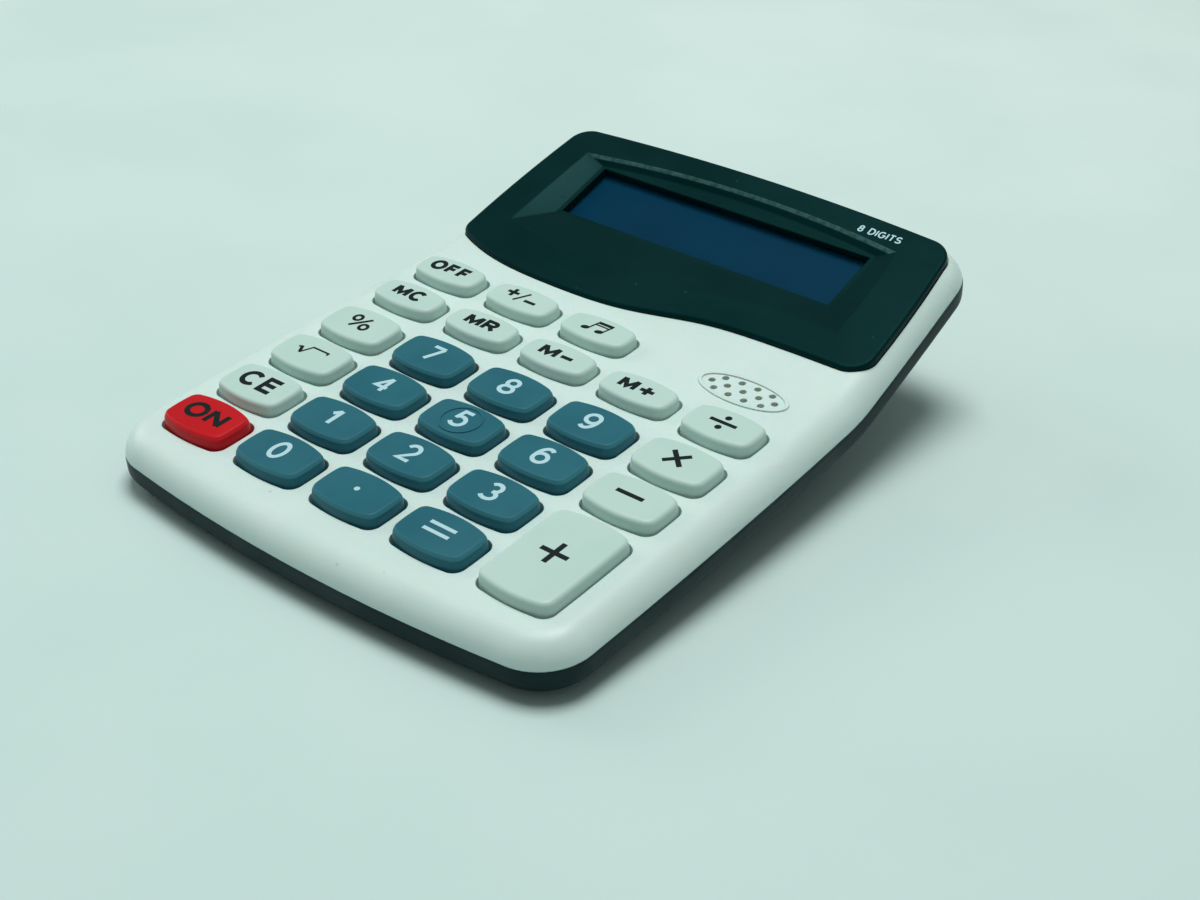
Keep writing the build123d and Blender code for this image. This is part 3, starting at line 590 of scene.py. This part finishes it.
# %% Ink
def ink(name, colour, worn):
    """Printed ink with small pinholes and soft wear."""
    finish = Finish(name, specular_ior_level=0.2)
    thin = finish.ramp(finish.noise(0.9, 3), 0.62, 0.78)
    return finish.feed(colour=finish.blend(thin * 0.5, colour, worn), roughness=0.42 + thin * 0.2,
                       normal=finish.bump(finish.noise(0.2, 2), 0.004))


INK_BLACK = ink("ink_black", (0.001, 0.007, 0.009), (0.02, 0.05, 0.05))
INK_PALE = ink("ink_pale", (0.50, 0.72, 0.78), (0.25, 0.45, 0.52))
print("inks:", INK_BLACK.name, INK_PALE.name)



# %% [markdown]
# ## Strokes
# A stroke is a flat ribbon along a path. At a corner the two edges meet in a mitre, as a picture
# frame's do, which keeps the width even. Where two strokes cross they would share one plane and
# render with dark spots, so each lies a hair above the one before.


# %% Strokes
MITRE_LIMIT = 0.55  # stops a sharp corner from growing a long spike


def ribbon(path, width, closed=False):
    """A flat ribbon along a path, from -0.5 to 0.5 high, with mitred corners: (points, faces)."""
    count = len(path)
    points, faces = [], []
    for index, spot in enumerate(path):
        ways = []
        if index or closed:
            ways.append((spot - path[index - 1]).normalized())
        if index < count - 1 or closed:
            ways.append((path[(index + 1) % count] - spot).normalized())
        sides = [Vector((-w.y, w.x)) for w in ways]
        mean = sum(sides, Vector((0, 0))).normalized()
        reach = width / 2 / max(mean.dot(sides[0]), MITRE_LIMIT)
        for offset, z in ((-reach, -0.5), (reach, -0.5), (reach, 0.5), (-reach, 0.5)):
            points.append((*(spot + mean * offset), z))
    for index in range(count if closed else count - 1):
        one, two = index * 4, (index + 1) % count * 4
        faces += [(one + i, one + (i + 1) % 4, two + (i + 1) % 4, two + i) for i in range(4)]
    if not closed:
        last = (count - 1) * 4
        faces += [(3, 2, 1, 0), (last, last + 1, last + 2, last + 3)]
    return points, faces


LAYER = 0.003  # millimetres from one stroke up to the next


def solid(*ribbons):
    """One mesh from several (points, faces) pairs, each a hair higher than the one before."""
    points, faces = [], []
    for order, (own_points, own_faces) in enumerate(ribbons):
        faces += [[len(points) + index for index in face] for face in own_faces]
        points += [(x, y, z + LAYER * order if z > 0 else z) for x, y, z in own_points]
    mesh = bpy.data.meshes.new("strokes")
    mesh.from_pydata(points, [], faces)
    return mesh


def arc(x, y, reach_x, reach_y, start, finish):
    """Points along part of an ellipse, angles in degrees."""
    steps = max(6, int(abs(finish - start) / 14))
    angles = [math.radians(start + (finish - start) * step / steps) for step in range(steps + 1)]
    return [(x + reach_x * math.cos(a), y + reach_y * math.sin(a)) for a in angles]


def oval(x, y, reach_x, reach_y):
    """A closed ellipse: its first point is not repeated."""
    return arc(x, y, reach_x, reach_y, 90, 450)[:-1] + ["closed"]


# %% [markdown]
# ## Lettering
# Every sign is drawn in a box of one by one, from straight lines and parts of ellipses, so one table
# serves all sizes. The first number is the sign's natural width as a share of its height.

# %% Lettering: the width of each sign and its strokes
SIX = [oval(0.5, 0.31, 0.5, 0.31), arc(0.56, 0.42, 0.56, 0.58, 55, 186)]
GLYPHS = {
    "0": (0.62, [oval(0.5, 0.5, 0.5, 0.5)]),
    "1": (0.38, [[(0.85, 0), (0.85, 1)], [(0.85, 0.97), (0, 0.68)]]),
    "2": (0.62, [arc(0.48, 0.70, 0.46, 0.30, 165, -35) + [(0.04, 0), (1, 0)]]),
    "3": (0.62, [arc(0.46, 0.75, 0.42, 0.25, 150, -90), arc(0.46, 0.26, 0.52, 0.26, 90, -150)]),
    "4": (0.66, [[(0.72, 0), (0.72, 1)], [(0.70, 0.98), (0, 0.30), (1, 0.30)]]),
    "5": (0.62, [[(0.92, 1), (0.22, 1), (0.08, 0.46)], arc(0.46, 0.32, 0.52, 0.32, 138, -150)]),
    "6": (0.62, SIX),
    "7": (0.60, [[(0, 1), (1, 1)], [(0.96, 0.98), (0.32, 0)]]),
    "8": (0.62, [oval(0.5, 0.75, 0.42, 0.25), oval(0.5, 0.26, 0.5, 0.26)]),
    "9": (0.62, [[p if p == "closed" else (1 - p[0], 1 - p[1]) for p in path] for path in SIX]),
    "O": (0.95, [oval(0.5, 0.5, 0.5, 0.5)]),
    "N": (0.80, [[(0, 0), (0, 1)], [(0.02, 0.97), (0.98, 0.03)], [(1, 0), (1, 1)]]),
    "F": (0.66, [[(0, 0), (0, 1), (1, 1)], [(0, 0.52), (0.88, 0.52)]]),
    "C": (0.86, [arc(0.5, 0.5, 0.5, 0.5, 42, 318)]),
    "E": (0.70, [[(1, 0), (0, 0), (0, 1), (1, 1)], [(0, 0.52), (0.92, 0.52)]]),
    "M": (0.94, [[(0, 0), (0, 1)], [(0.02, 0.97), (0.5, 0.14), (0.98, 0.97)], [(1, 0), (1, 1)]]),
    "R": (0.78, [[(0, 0), (0, 1), (0.6, 1)] + arc(0.6, 0.75, 0.34, 0.25, 70, -70) + [(0.6, 0.5), (0, 0.5)],
                 [(0.5, 0.5), (1, 0)]]),
    "D": (0.76, [[(0, 0), (0, 1), (0.4, 1)] + arc(0.4, 0.5, 0.6, 0.5, 75, -75) + [(0.4, 0), (0, 0)]]),
    "I": (0.02, [[(0.5, 0), (0.5, 1)]]),
    "G": (0.88, [arc(0.5, 0.5, 0.5, 0.5, 48, 340) + [(0.97, 0.46), (0.58, 0.46)]]),
    "T": (0.66, [[(0, 1), (1, 1)], [(0.5, 1), (0.5, 0)]]),
    "S": (0.70, [arc(0.5, 0.75, 0.46, 0.25, 30, 270) + arc(0.5, 0.25, 0.5, 0.25, 82, -150)]),
    "%": (1.05, [oval(0.17, 0.76, 0.17, 0.24), oval(0.83, 0.24, 0.17, 0.24), [(0.80, 1), (0.20, 0)]]),
    "+": (0.95, [[(0, 0.42), (1, 0.42)], [(0.5, -0.02), (0.5, 0.86)]]),
    "-": (0.76, [[(0, 0.42), (1, 0.42)]]),
    " ": (0.30, []),
}
print("signs drawn:", "".join(GLYPHS))

# %% [markdown]
# ## Words
# A word sets its signs side by side and stretches them to the overall width that it should have. The
# strokes keep their own width, because they become ribbons only after the stretch.


# %% Words
GAP = 0.13  # space between signs, as a share of their height


def word(text, width, height, weight):
    """A word as a flat mesh centred on 0, of the given overall size and stroke width in millimetres."""
    rise = height - weight
    natural = sum(GLYPHS[sign][0] for sign in text) * rise
    spacing = (weight + GAP * rise) * (len(text) - 1)
    stretch = (width - weight - spacing) / natural
    ribbons, left = [], (weight - width) / 2
    for sign in text:
        wide, paths = GLYPHS[sign]
        span = wide * rise * stretch
        for path in paths:
            closed = path[-1] == "closed"
            spots = [Vector((left + x * span, (y - 0.5) * rise)) for x, y in path[:len(path) - closed]]
            ribbons.append(ribbon(spots, weight, closed))
        left += span + weight + GAP * rise
    return solid(*ribbons)


# %% [markdown]
# ## Bars, dots and where they go
# The arithmetic signs are bars and dots of their own. Anything flat is then laid on a board: its
# lower face goes a little under the plastic, so that no gap shows at a low angle.


# %% Bars, dots and placing
def bar(x1, y1, x2, y2, width):
    """A straight stroke from one point to another."""
    return ribbon([Vector((x1, y1)), Vector((x2, y2))], width)


def dot(x, y, reach_x, reach_y, turn=0.0):
    """A filled dot, drawn as a fan of points round its middle."""
    spin = Matrix.Rotation(math.radians(turn), 2)
    rim = [spin @ Vector((reach_x * px, reach_y * py)) for px, py in arc(0, 0, 1, 1, 0, 360)[:-1]]
    count = len(rim)
    points = [(x + spot.x, y + spot.y, z) for z in (-0.5, 0.5) for spot in rim]
    faces = [list(reversed(range(count))), list(range(count, 2 * count))]
    faces += [(i, (i + 1) % count, count + (i + 1) % count, count + i) for i in range(count)]
    return points, faces


def print_on(board, name, mesh, centre, base, top, material, body):
    """Lays a flat mesh on a board as a thin layer of ink."""
    for vertex in mesh.vertices:
        z = base if vertex.co.z < 0 else top + vertex.co.z - 0.5
        vertex.co = board.place((centre[0] + vertex.co.x, centre[1] + vertex.co.y, z))
    mesh.name = name
    return add_piece(name, mesh, material, body)


# %% [markdown]
# ## What each key says
# Signs are given as bars and dots in millimetres from the middle of the key. Words are given as
# text, overall width, height and stroke width. The digits share one size, and only the narrow 1
# differs.

# %% Signs and words of the keys
SIGNS = {
    "key_plus": solid(bar(-2.6, 0, 2.6, 0, 0.95), bar(0, -2.6, 0, 2.6, 0.95)),
    "key_minus": solid(bar(-2.6, 0, 2.6, 0, 0.9)),
    "key_times": solid(bar(-1.7, -1.7, 1.7, 1.7, 0.9), bar(-1.7, 1.7, 1.7, -1.7, 0.9)),
    "key_divide": solid(bar(-2.6, 0, 2.6, 0, 0.8), dot(0, 1.5, 0.6, 0.6), dot(0, -1.5, 0.6, 0.6)),
    "key_equals": solid(bar(-2.6, 0.9, 2.6, 0.9, 0.72), bar(-2.6, -0.9, 2.6, -0.9, 0.72)),
    "key_point": solid(dot(0, 0, 0.5, 0.5)),
    "key_root": solid(bar(-3.2, 0.0, -2.55, 0.35, 0.45), bar(-2.65, 0.42, -1.75, -1.3, 0.62),
                      bar(-1.8, -1.4, -0.6, 1.25, 0.40), bar(-0.75, 1.15, 3.2, 1.15, 0.42),
                      bar(3.0, 1.2, 3.0, 0.55, 0.40)),
    "key_sign": solid(bar(-3.7, 0.5, -1.2, 0.5, 0.75), bar(-2.45, -0.75, -2.45, 1.75, 0.75),
                      bar(-1.0, -1.6, 0.7, 1.7, 0.5), bar(1.0, -0.7, 3.5, -0.7, 0.75)),
    "key_melody": solid(bar(-1.35, -1.1, -0.75, 1.4, 0.38), bar(1.7, -1.1, 2.3, 1.4, 0.38),
                        bar(-0.85, 1.35, 2.45, 1.35, 0.75), bar(-1.0, 0.55, 2.15, 0.55, 0.35),
                        dot(-1.95, -1.2, 0.85, 0.55, 15), dot(1.1, -1.2, 0.85, 0.55, 15)),
}
WORDS = {
    "key_on": ("ON", 9.0, 4.3, 1.0), "key_clear_entry": ("CE", 8.4, 4.4, 0.98),
    "key_off": ("OFF", 8.9, 3.4, 0.88), "key_percent": ("%", 5.2, 4.2, 0.62),
    "key_memory_clear": ("MC", 7.0, 3.4, 0.86), "key_memory_recall": ("MR", 7.0, 3.4, 0.86),
    "key_memory_minus": ("M-", 7.4, 3.4, 0.86), "key_memory_plus": ("M+", 7.5, 3.4, 0.86),
}
WORDS.update({f"key_{digit}": (str(digit), 3.3, 4.8, 0.78) for digit in range(10)})
WORDS["key_1"] = ("1", 2.2, 4.8, 0.85)
print(len(SIGNS), "keys carry a sign and", len(WORDS), "a word or a digit")

# %% [markdown]
# ## Printing
# Pale ink goes on the dark keys and black ink on the others. The prints sit slightly left of and
# behind the middle of the caps. Each one rides on its own key, so a pressed key takes it down.

# %% Print the legends
INK_BASE = KEY_TOP - 0.02
INK_TOP = KEY_TOP + 0.015
PRINT_SHIFT = Vector((-0.2, 0.3))
for node, centre in caps.items():
    mesh = SIGNS[node] if node in SIGNS else word(*WORDS[node])
    colour = INK_PALE if key_slots[node] == "key_blue" else INK_BLACK
    print_on(keyboard, "legend_" + node[4:], mesh, centre + PRINT_SHIFT, INK_BASE, INK_TOP, colour, node)
print("legends printed:", len(caps))

# %% [markdown]
# ## A ring and a line of print
# The 5 key has a low raised ring, so that a finger finds the middle of the keypad. The panel carries
# one small line of printing that says how many digits fit in the display.

# %% Ring and panel printing
RING_RADIUS = 3.6
RING_WIDTH = 0.35
RING_SUNK = 0.05
RING_RISE = 0.15
ring_path = [Vector(spot) for spot in arc(0, 0, RING_RADIUS, RING_RADIUS, 0, 360)[:-1]]
ring = solid(ribbon(ring_path, RING_WIDTH, True))
print_on(keyboard, "ring_5", ring, caps["key_5"], KEY_TOP - RING_SUNK, KEY_TOP + RING_RISE,
         finishes["key_blue"], "key_5")
panel_edge = max(p.y for p in panel.corners_of("display_bezel"))
PANEL_PRINT_X = 28.7
PANEL_PRINT_FROM_REAR = 4.6
PANEL_PRINT_SUNK = 0.02
PANEL_PRINT_RISE = 0.012
place = (PANEL_PRINT_X, panel_edge - PANEL_PRINT_FROM_REAR)
digits = word("8 DIGITS", 9.0, 1.75, 0.30)
print_on(panel, "panel_printing", digits, place, -PANEL_PRINT_SUNK, PANEL_PRINT_RISE, INK_PALE, "case")
print("panel's rear edge is", round(panel_edge, 2), "mm up the board")

# %% [markdown]
# ## Screws and spring
# Some things repeat or follow a path: the screws and the battery spring. Geometry Nodes suits them.
# One screw is modelled once, and the nodes put a copy on every point, each turned by its own random
# angle, as a screwdriver would leave them. The spring is a spiral with a round wire swept along it.
# Both get plain meshes in the end. Their places and sizes are measured on the engineering parts.


# %% Geometry Nodes helper
SOCKETS = {int: "NodeSocketInt", float: "NodeSocketFloat", bpy.types.Object: "NodeSocketObject",
           bpy.types.Material: "NodeSocketMaterial"}


def grown(name, start, build, material, **values):
    """The plain mesh that a geometry node tree makes from a start mesh."""
    tree = bpy.data.node_groups.new(name, "GeometryNodeTree")
    tree.interface.new_socket("Geometry", in_out="OUTPUT", socket_type="NodeSocketGeometry")
    tree.interface.new_socket("Geometry", in_out="INPUT", socket_type="NodeSocketGeometry")
    values["material"] = material
    sockets = {key: tree.interface.new_socket(key, in_out="INPUT", socket_type=SOCKETS[type(value)])
               for key, value in values.items()}
    entry = tree.nodes.new("NodeGroupInput")
    final = build(tree, entry.outputs)
    realize = tree.nodes.new("GeometryNodeRealizeInstances")
    dress = tree.nodes.new("GeometryNodeSetMaterial")
    leave = tree.nodes.new("NodeGroupOutput")
    tree.links.new(final, realize.inputs[0])
    tree.links.new(realize.outputs[0], dress.inputs["Geometry"])
    tree.links.new(entry.outputs["material"], dress.inputs["Material"])
    tree.links.new(dress.outputs[0], leave.inputs[0])
    holder = bpy.data.objects.new(name, start)
    bpy.context.scene.collection.objects.link(holder)
    modifier = holder.modifiers.new(name, "NODES")
    modifier.node_group = tree
    for key, value in values.items():
        modifier[sockets[key].identifier] = value
    bpy.context.view_layer.update()
    mesh = bpy.data.meshes.new_from_object(holder.evaluated_get(bpy.context.evaluated_depsgraph_get()))
    mesh.name = name
    bpy.data.objects.remove(holder)
    return mesh


# %% [markdown]
# ## One screw
# The casing is held by small pan-head screws with a cross recess. The screw is turned about its axis
# from one outline of radii and heights, like work on a lathe. Pushing in only the points inside a
# cross makes the recess without a Boolean, which can leave slivers. A ridged shank stands for the
# thread.

# %% One screw
STEPS_ROUND = 32
HEAD_PROFILE = [(1.0, 0.0), (1.0, -0.45), (0.95, -0.70), (0.84, -0.90), (0.70, -1.0)]
RECESS_RINGS = [0.62, 0.54, 0.46, 0.36, 0.26, 0.16, 0.08]
RECESS_ARM = 0.14
RECESS_REACH = 0.58
RECESS_DEPTH = 0.5  # share of the head's height
THREAD_PITCH = 0.5
THREAD_ROOT = 0.82  # share of the shank's radius
THREAD_START = 0.2


def screw_model(head, head_height, shank, length):
    """A pan-head screw with a cross recess and a ridged shank, seat at 0, head down, in metres."""
    rings = []
    height = length
    while height > THREAD_START:
        rings += [(shank, height), (shank * THREAD_ROOT, height - THREAD_PITCH / 2)]
        height -= THREAD_PITCH
    rings += [(shank * THREAD_ROOT, 0.0)]
    rings += [(head * across, head_height * down) for across, down in HEAD_PROFILE]
    rings += [(head * across, -head_height) for across in RECESS_RINGS]
    points, faces = [(0, 0, length)], []
    for radius, z in rings:
        for step in range(STEPS_ROUND):
            angle = 2 * math.pi * step / STEPS_ROUND
            x, y = radius * math.cos(angle), radius * math.sin(angle)
            in_arm = min(abs(x), abs(y)) < head * RECESS_ARM and max(abs(x), abs(y)) < head * RECESS_REACH
            on_face = z <= -head_height * 0.999
            sunk = head_height * RECESS_DEPTH if in_arm and on_face else 0.0
            points.append((x, y, z + sunk))
    points.append((0, 0, -head_height * RECESS_DEPTH))
    for ring in range(len(rings) - 1):
        for step in range(STEPS_ROUND):
            one, two = 1 + ring * STEPS_ROUND, 1 + ring * STEPS_ROUND + STEPS_ROUND
            after = (step + 1) % STEPS_ROUND
            faces.append((one + step, two + step, two + after, one + after))
    last = 1 + (len(rings) - 1) * STEPS_ROUND
    for step in range(STEPS_ROUND):
        after = (step + 1) % STEPS_ROUND
        faces.append((0, 1 + step, 1 + after))
        faces.append((last + after, last + step, len(points) - 1))
    mesh = bpy.data.meshes.new("screw_model")
    mesh.from_pydata([Vector(point) * MM for point in points], [], faces)
    mesh.polygons.foreach_set("use_smooth", [True] * len(mesh.polygons))
    mesh.set_sharp_from_angle(angle=math.radians(35))
    return bpy.data.objects.new("screw_model", mesh)


# %% [markdown]
# ## Where the screws are
# All casing screws are one engineering part with several separate solids, and so are the board
# screws. Points that lie close together belong to one screw. A node tree then puts a copy of the
# model on each spot, and a fixed seed gives every copy the same turn each time the script runs.


# %% Screw spots and their tree
def clusters(points, reach=6.0):
    """Groups of points that lie close together in x and y."""
    groups = []
    for point in points:
        near = [g for g in groups if (g[0].xy - point.xy).length < reach]
        if near:
            near[0].append(point)
        else:
            groups.append([point])
    return groups


def scatter(tree, inputs):
    """A copy of the model on every point, turned by a random angle about its axis."""
    model = tree.nodes.new("GeometryNodeObjectInfo")
    spin = tree.nodes.new("FunctionNodeRandomValue")
    spin.data_type = "FLOAT_VECTOR"
    spin.inputs["Min"].default_value = (0, 0, 0)
    spin.inputs["Max"].default_value = (0, 0, math.tau)
    copies = tree.nodes.new("GeometryNodeInstanceOnPoints")
    tree.links.new(inputs["model"], model.inputs["Object"])
    tree.links.new(inputs["seed"], spin.inputs["Seed"])
    tree.links.new(inputs["Geometry"], copies.inputs["Points"])
    tree.links.new(model.outputs["Geometry"], copies.inputs["Instance"])
    tree.links.new(spin.outputs["Value"], copies.inputs["Rotation"])
    return copies.outputs["Instances"]


# %% [markdown]
# ## Measure, copy, make plain
# The sizes of each screw are measured on its engineering part: the widest ring is the head, the
# highest point near that width is its seat, and what stands above the seat is the shank. The copies
# are realised and turned into one plain mesh, because an export drops instances.

# %% Place the screws
FIRST_SEED = 3
HEAD_BAND = 0.9  # points beyond this share of the head's radius are on its rim
ABOVE_SEAT = 0.1
for seed, node in enumerate(("case_screws", "board_screws"), FIRST_SEED):
    heads = []
    for group in clusters(keyboard.corners_of(node)):
        low = Vector([min(p[i] for p in group) for i in range(3)])
        high = Vector([max(p[i] for p in group) for i in range(3)])
        middle = (low + high) / 2
        radius = (high.x - low.x) / 2
        seat = max(p.z for p in group if (p.xy - middle.xy).length > radius * HEAD_BAND)
        shank = max((p.xy - middle.xy).length for p in group if p.z > seat + ABOVE_SEAT)
        heads.append((Vector((middle.x, middle.y, seat)), radius, seat - low.z, shank, high.z - seat))
    spots = bpy.data.meshes.new(node)
    spots.from_pydata([head[0] * MM for head in heads], [], [])
    model = screw_model(*heads[0][1:])
    mesh = grown(node + "_turned", spots, scatter, finishes["screw_steel"], model=model, seed=seed)
    bpy.data.objects.remove(model)
    mesh.transform(keyboard.matrix)
    piece = add_piece(node + "_turned", mesh, None, "case")
    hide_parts(node)
    print(node, len(heads), "head radius, height, shank, length:", [round(size, 2) for size in heads[0][1:]])


# %% [markdown]
# ## Battery spring
# The spring that presses on the cell is a cone of plated wire. A spiral curve with a circle swept
# along it follows the same rule as the real coil, so a node tree makes it. It is sized from the
# engineering part's box and turned to lie along the cell.


# %% Battery spring
SPRING_TURNS = 4.0
SPRING_TAPER = 0.8  # radius at the narrow end, as a share of the wide end
WIRE = 0.25 * MM  # the wire's radius


def spiral_wire(tree, inputs):
    """A tapering spiral along Z with a round wire swept along it."""
    spiral = tree.nodes.new("GeometryNodeCurveSpiral")
    wire = tree.nodes.new("GeometryNodeCurvePrimitiveCircle")
    sweep = tree.nodes.new("GeometryNodeCurveToMesh")
    spiral.inputs["Resolution"].default_value = 28
    spiral.inputs["Rotations"].default_value = SPRING_TURNS
    wire.inputs["Resolution"].default_value = 10
    tree.links.new(inputs["wide"], spiral.inputs["Start Radius"])
    tree.links.new(inputs["narrow"], spiral.inputs["End Radius"])
    tree.links.new(inputs["length"], spiral.inputs["Height"])
    tree.links.new(inputs["wire"], wire.inputs["Radius"])
    tree.links.new(spiral.outputs[0], sweep.inputs["Curve"])
    tree.links.new(wire.outputs[0], sweep.inputs["Profile Curve"])
    sweep.inputs["Fill Caps"].default_value = True
    return sweep.outputs[0]


spring_low, spring_high = (Vector(corner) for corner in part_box("battery_spring"))
spring_reach = (spring_high.z - spring_low.z) / 2 - WIRE
spring_run = spring_high.x - spring_low.x - 2 * WIRE
spring = grown("battery_spring_wound", bpy.data.meshes.new("empty"), spiral_wire, finishes["contact_plated"],
               wide=spring_reach, narrow=spring_reach * SPRING_TAPER, length=spring_run, wire=WIRE)
toward_cell = 1 if spring_low.x < 0 else -1
start_x = spring_low.x + WIRE if toward_cell > 0 else spring_high.x - WIRE
centre = (spring_low + spring_high) / 2
lie_down = Matrix.Rotation(math.radians(90 * toward_cell), 4, "Y")
spring.transform(Matrix.Translation((start_x, centre.y, centre.z)) @ lie_down)
spring.polygons.foreach_set("use_smooth", [True] * len(spring.polygons))
spring_piece = add_piece("battery_spring_wound", spring, None, "case")
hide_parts("battery_spring")
print("spring reach and run, mm:", round(spring_reach / MM, 2), round(spring_run / MM, 2))

# %% [markdown]
# ## Table
# The calculator rests on a plain pale table, which is stage and not part of the object. Its colour is painted
# lighter towards the back, a painted fall of light, which stops it from looking like a flat backdrop.

# %% Table
def table_finish():
    """Pale smooth table with faint unevenness, painted lighter towards the back as painted light."""
    finish = Finish("table_pale")
    tone = finish.ramp(finish.noise(60, 3), 0.3, 0.7)
    back = finish.node("ShaderNodeSeparateXYZ", None, {0: finish.place()}).signal(1)
    # Painted light: the table is painted lighter towards the back.
    away = finish.ramp(back, -0.25, 0.65)
    tint = finish.blend((tone * 0.12 + away).clamp(), (0.58, 0.73, 0.70), (0.80, 0.89, 0.85))
    relief = finish.bump(finish.noise(2, 2), 0.01)
    return finish.feed(colour=tint, roughness=0.55 + tone * 0.1, normal=relief)


TABLE_HALF = 2.5
corners = [(x * TABLE_HALF, y * TABLE_HALF, 0) for x, y in ((-1, -1), (1, -1), (1, 1), (-1, 1))]
table_mesh = bpy.data.meshes.new("table")
table_mesh.from_pydata(corners, [], [(0, 1, 2, 3)])
table = bpy.data.objects.new("table", table_mesh)
bpy.context.scene.collection.objects.link(table)
table_mesh.materials.append(table_finish())
print("table:", 2 * TABLE_HALF, "m square")


# %% [markdown]
# ## Light
# One broad soft light overhead and slightly behind, and a weaker one from the left, keep the shadows
# soft and the white casing bright. Area lights are used because their size sets how soft a shadow
# is. A dim, faintly green room fills in the rest.


# %% Light
def soft_light(name, place, target, size, power, colour):
    """A square soft light that looks at a target."""
    lamp = bpy.data.lights.new(name, "AREA")
    lamp.size = size
    lamp.energy = power
    lamp.color = colour
    light = bpy.data.objects.new(name, lamp)
    light.location = place
    light.rotation_euler = (Vector(target) - Vector(place)).to_track_quat("-Z", "Y").to_euler()
    bpy.context.scene.collection.objects.link(light)


DAYLIGHT = (0.95, 1.0, 0.99)
soft_light("overhead", place=(-0.08, 0.12, 1.0), target=(0, 0, 0), size=0.5, power=7.5, colour=DAYLIGHT)
soft_light("window", place=(-1.0, -0.05, 0.5), target=(0, 0, 0), size=0.5, power=2.0, colour=DAYLIGHT)
print("lights:", [lamp.name for lamp in bpy.data.lights])
ROOM_COLOUR = (0.80, 0.96, 0.92, 1)
ROOM_STRENGTH = 0.24
world = bpy.data.worlds.new("room")
world.use_nodes = True
world.node_tree.nodes["Background"].inputs["Color"].default_value = ROOM_COLOUR
world.node_tree.nodes["Background"].inputs["Strength"].default_value = ROOM_STRENGTH
bpy.context.scene.world = world
bpy.context.scene.view_settings.view_transform = "Standard"

# %% [markdown]
# ## Camera
# The camera looks down from the right front corner, near enough for the perspective to show. Its
# direction is given as a vector, which becomes a turn, and a small roll about that direction
# follows.

# %% Camera
CAMERA_PLACE = Vector((0.18113, -0.21982, 0.16991))
CAMERA_DIRECTION = Vector((-0.52798, 0.67417, -0.51644))
CAMERA_ROLL = math.radians(1.67)
CAMERA_LENS = 56.42
SENSOR_WIDTH = 36
NEAR_LIMIT = 0.01
camera_data = bpy.data.cameras.new("camera")
camera_data.lens = CAMERA_LENS
camera_data.sensor_width = SENSOR_WIDTH
camera_data.clip_start = NEAR_LIMIT
camera = bpy.data.objects.new("camera", camera_data)
aim = CAMERA_DIRECTION.to_track_quat("-Z", "Y").to_matrix() @ Matrix.Rotation(CAMERA_ROLL, 3, "Z")
camera.matrix_world = Matrix.Translation(CAMERA_PLACE) @ aim.to_4x4()
bpy.context.scene.collection.objects.link(camera)
bpy.context.scene.camera = camera
print("camera stands", round(CAMERA_PLACE.length, 3), "m from the origin")

# %% [markdown]
# ## Bring the scene up to date
# The looks must not change the size of the object. Last, the scene is brought up to date.

# %% Finish
bpy.context.view_layer.update()
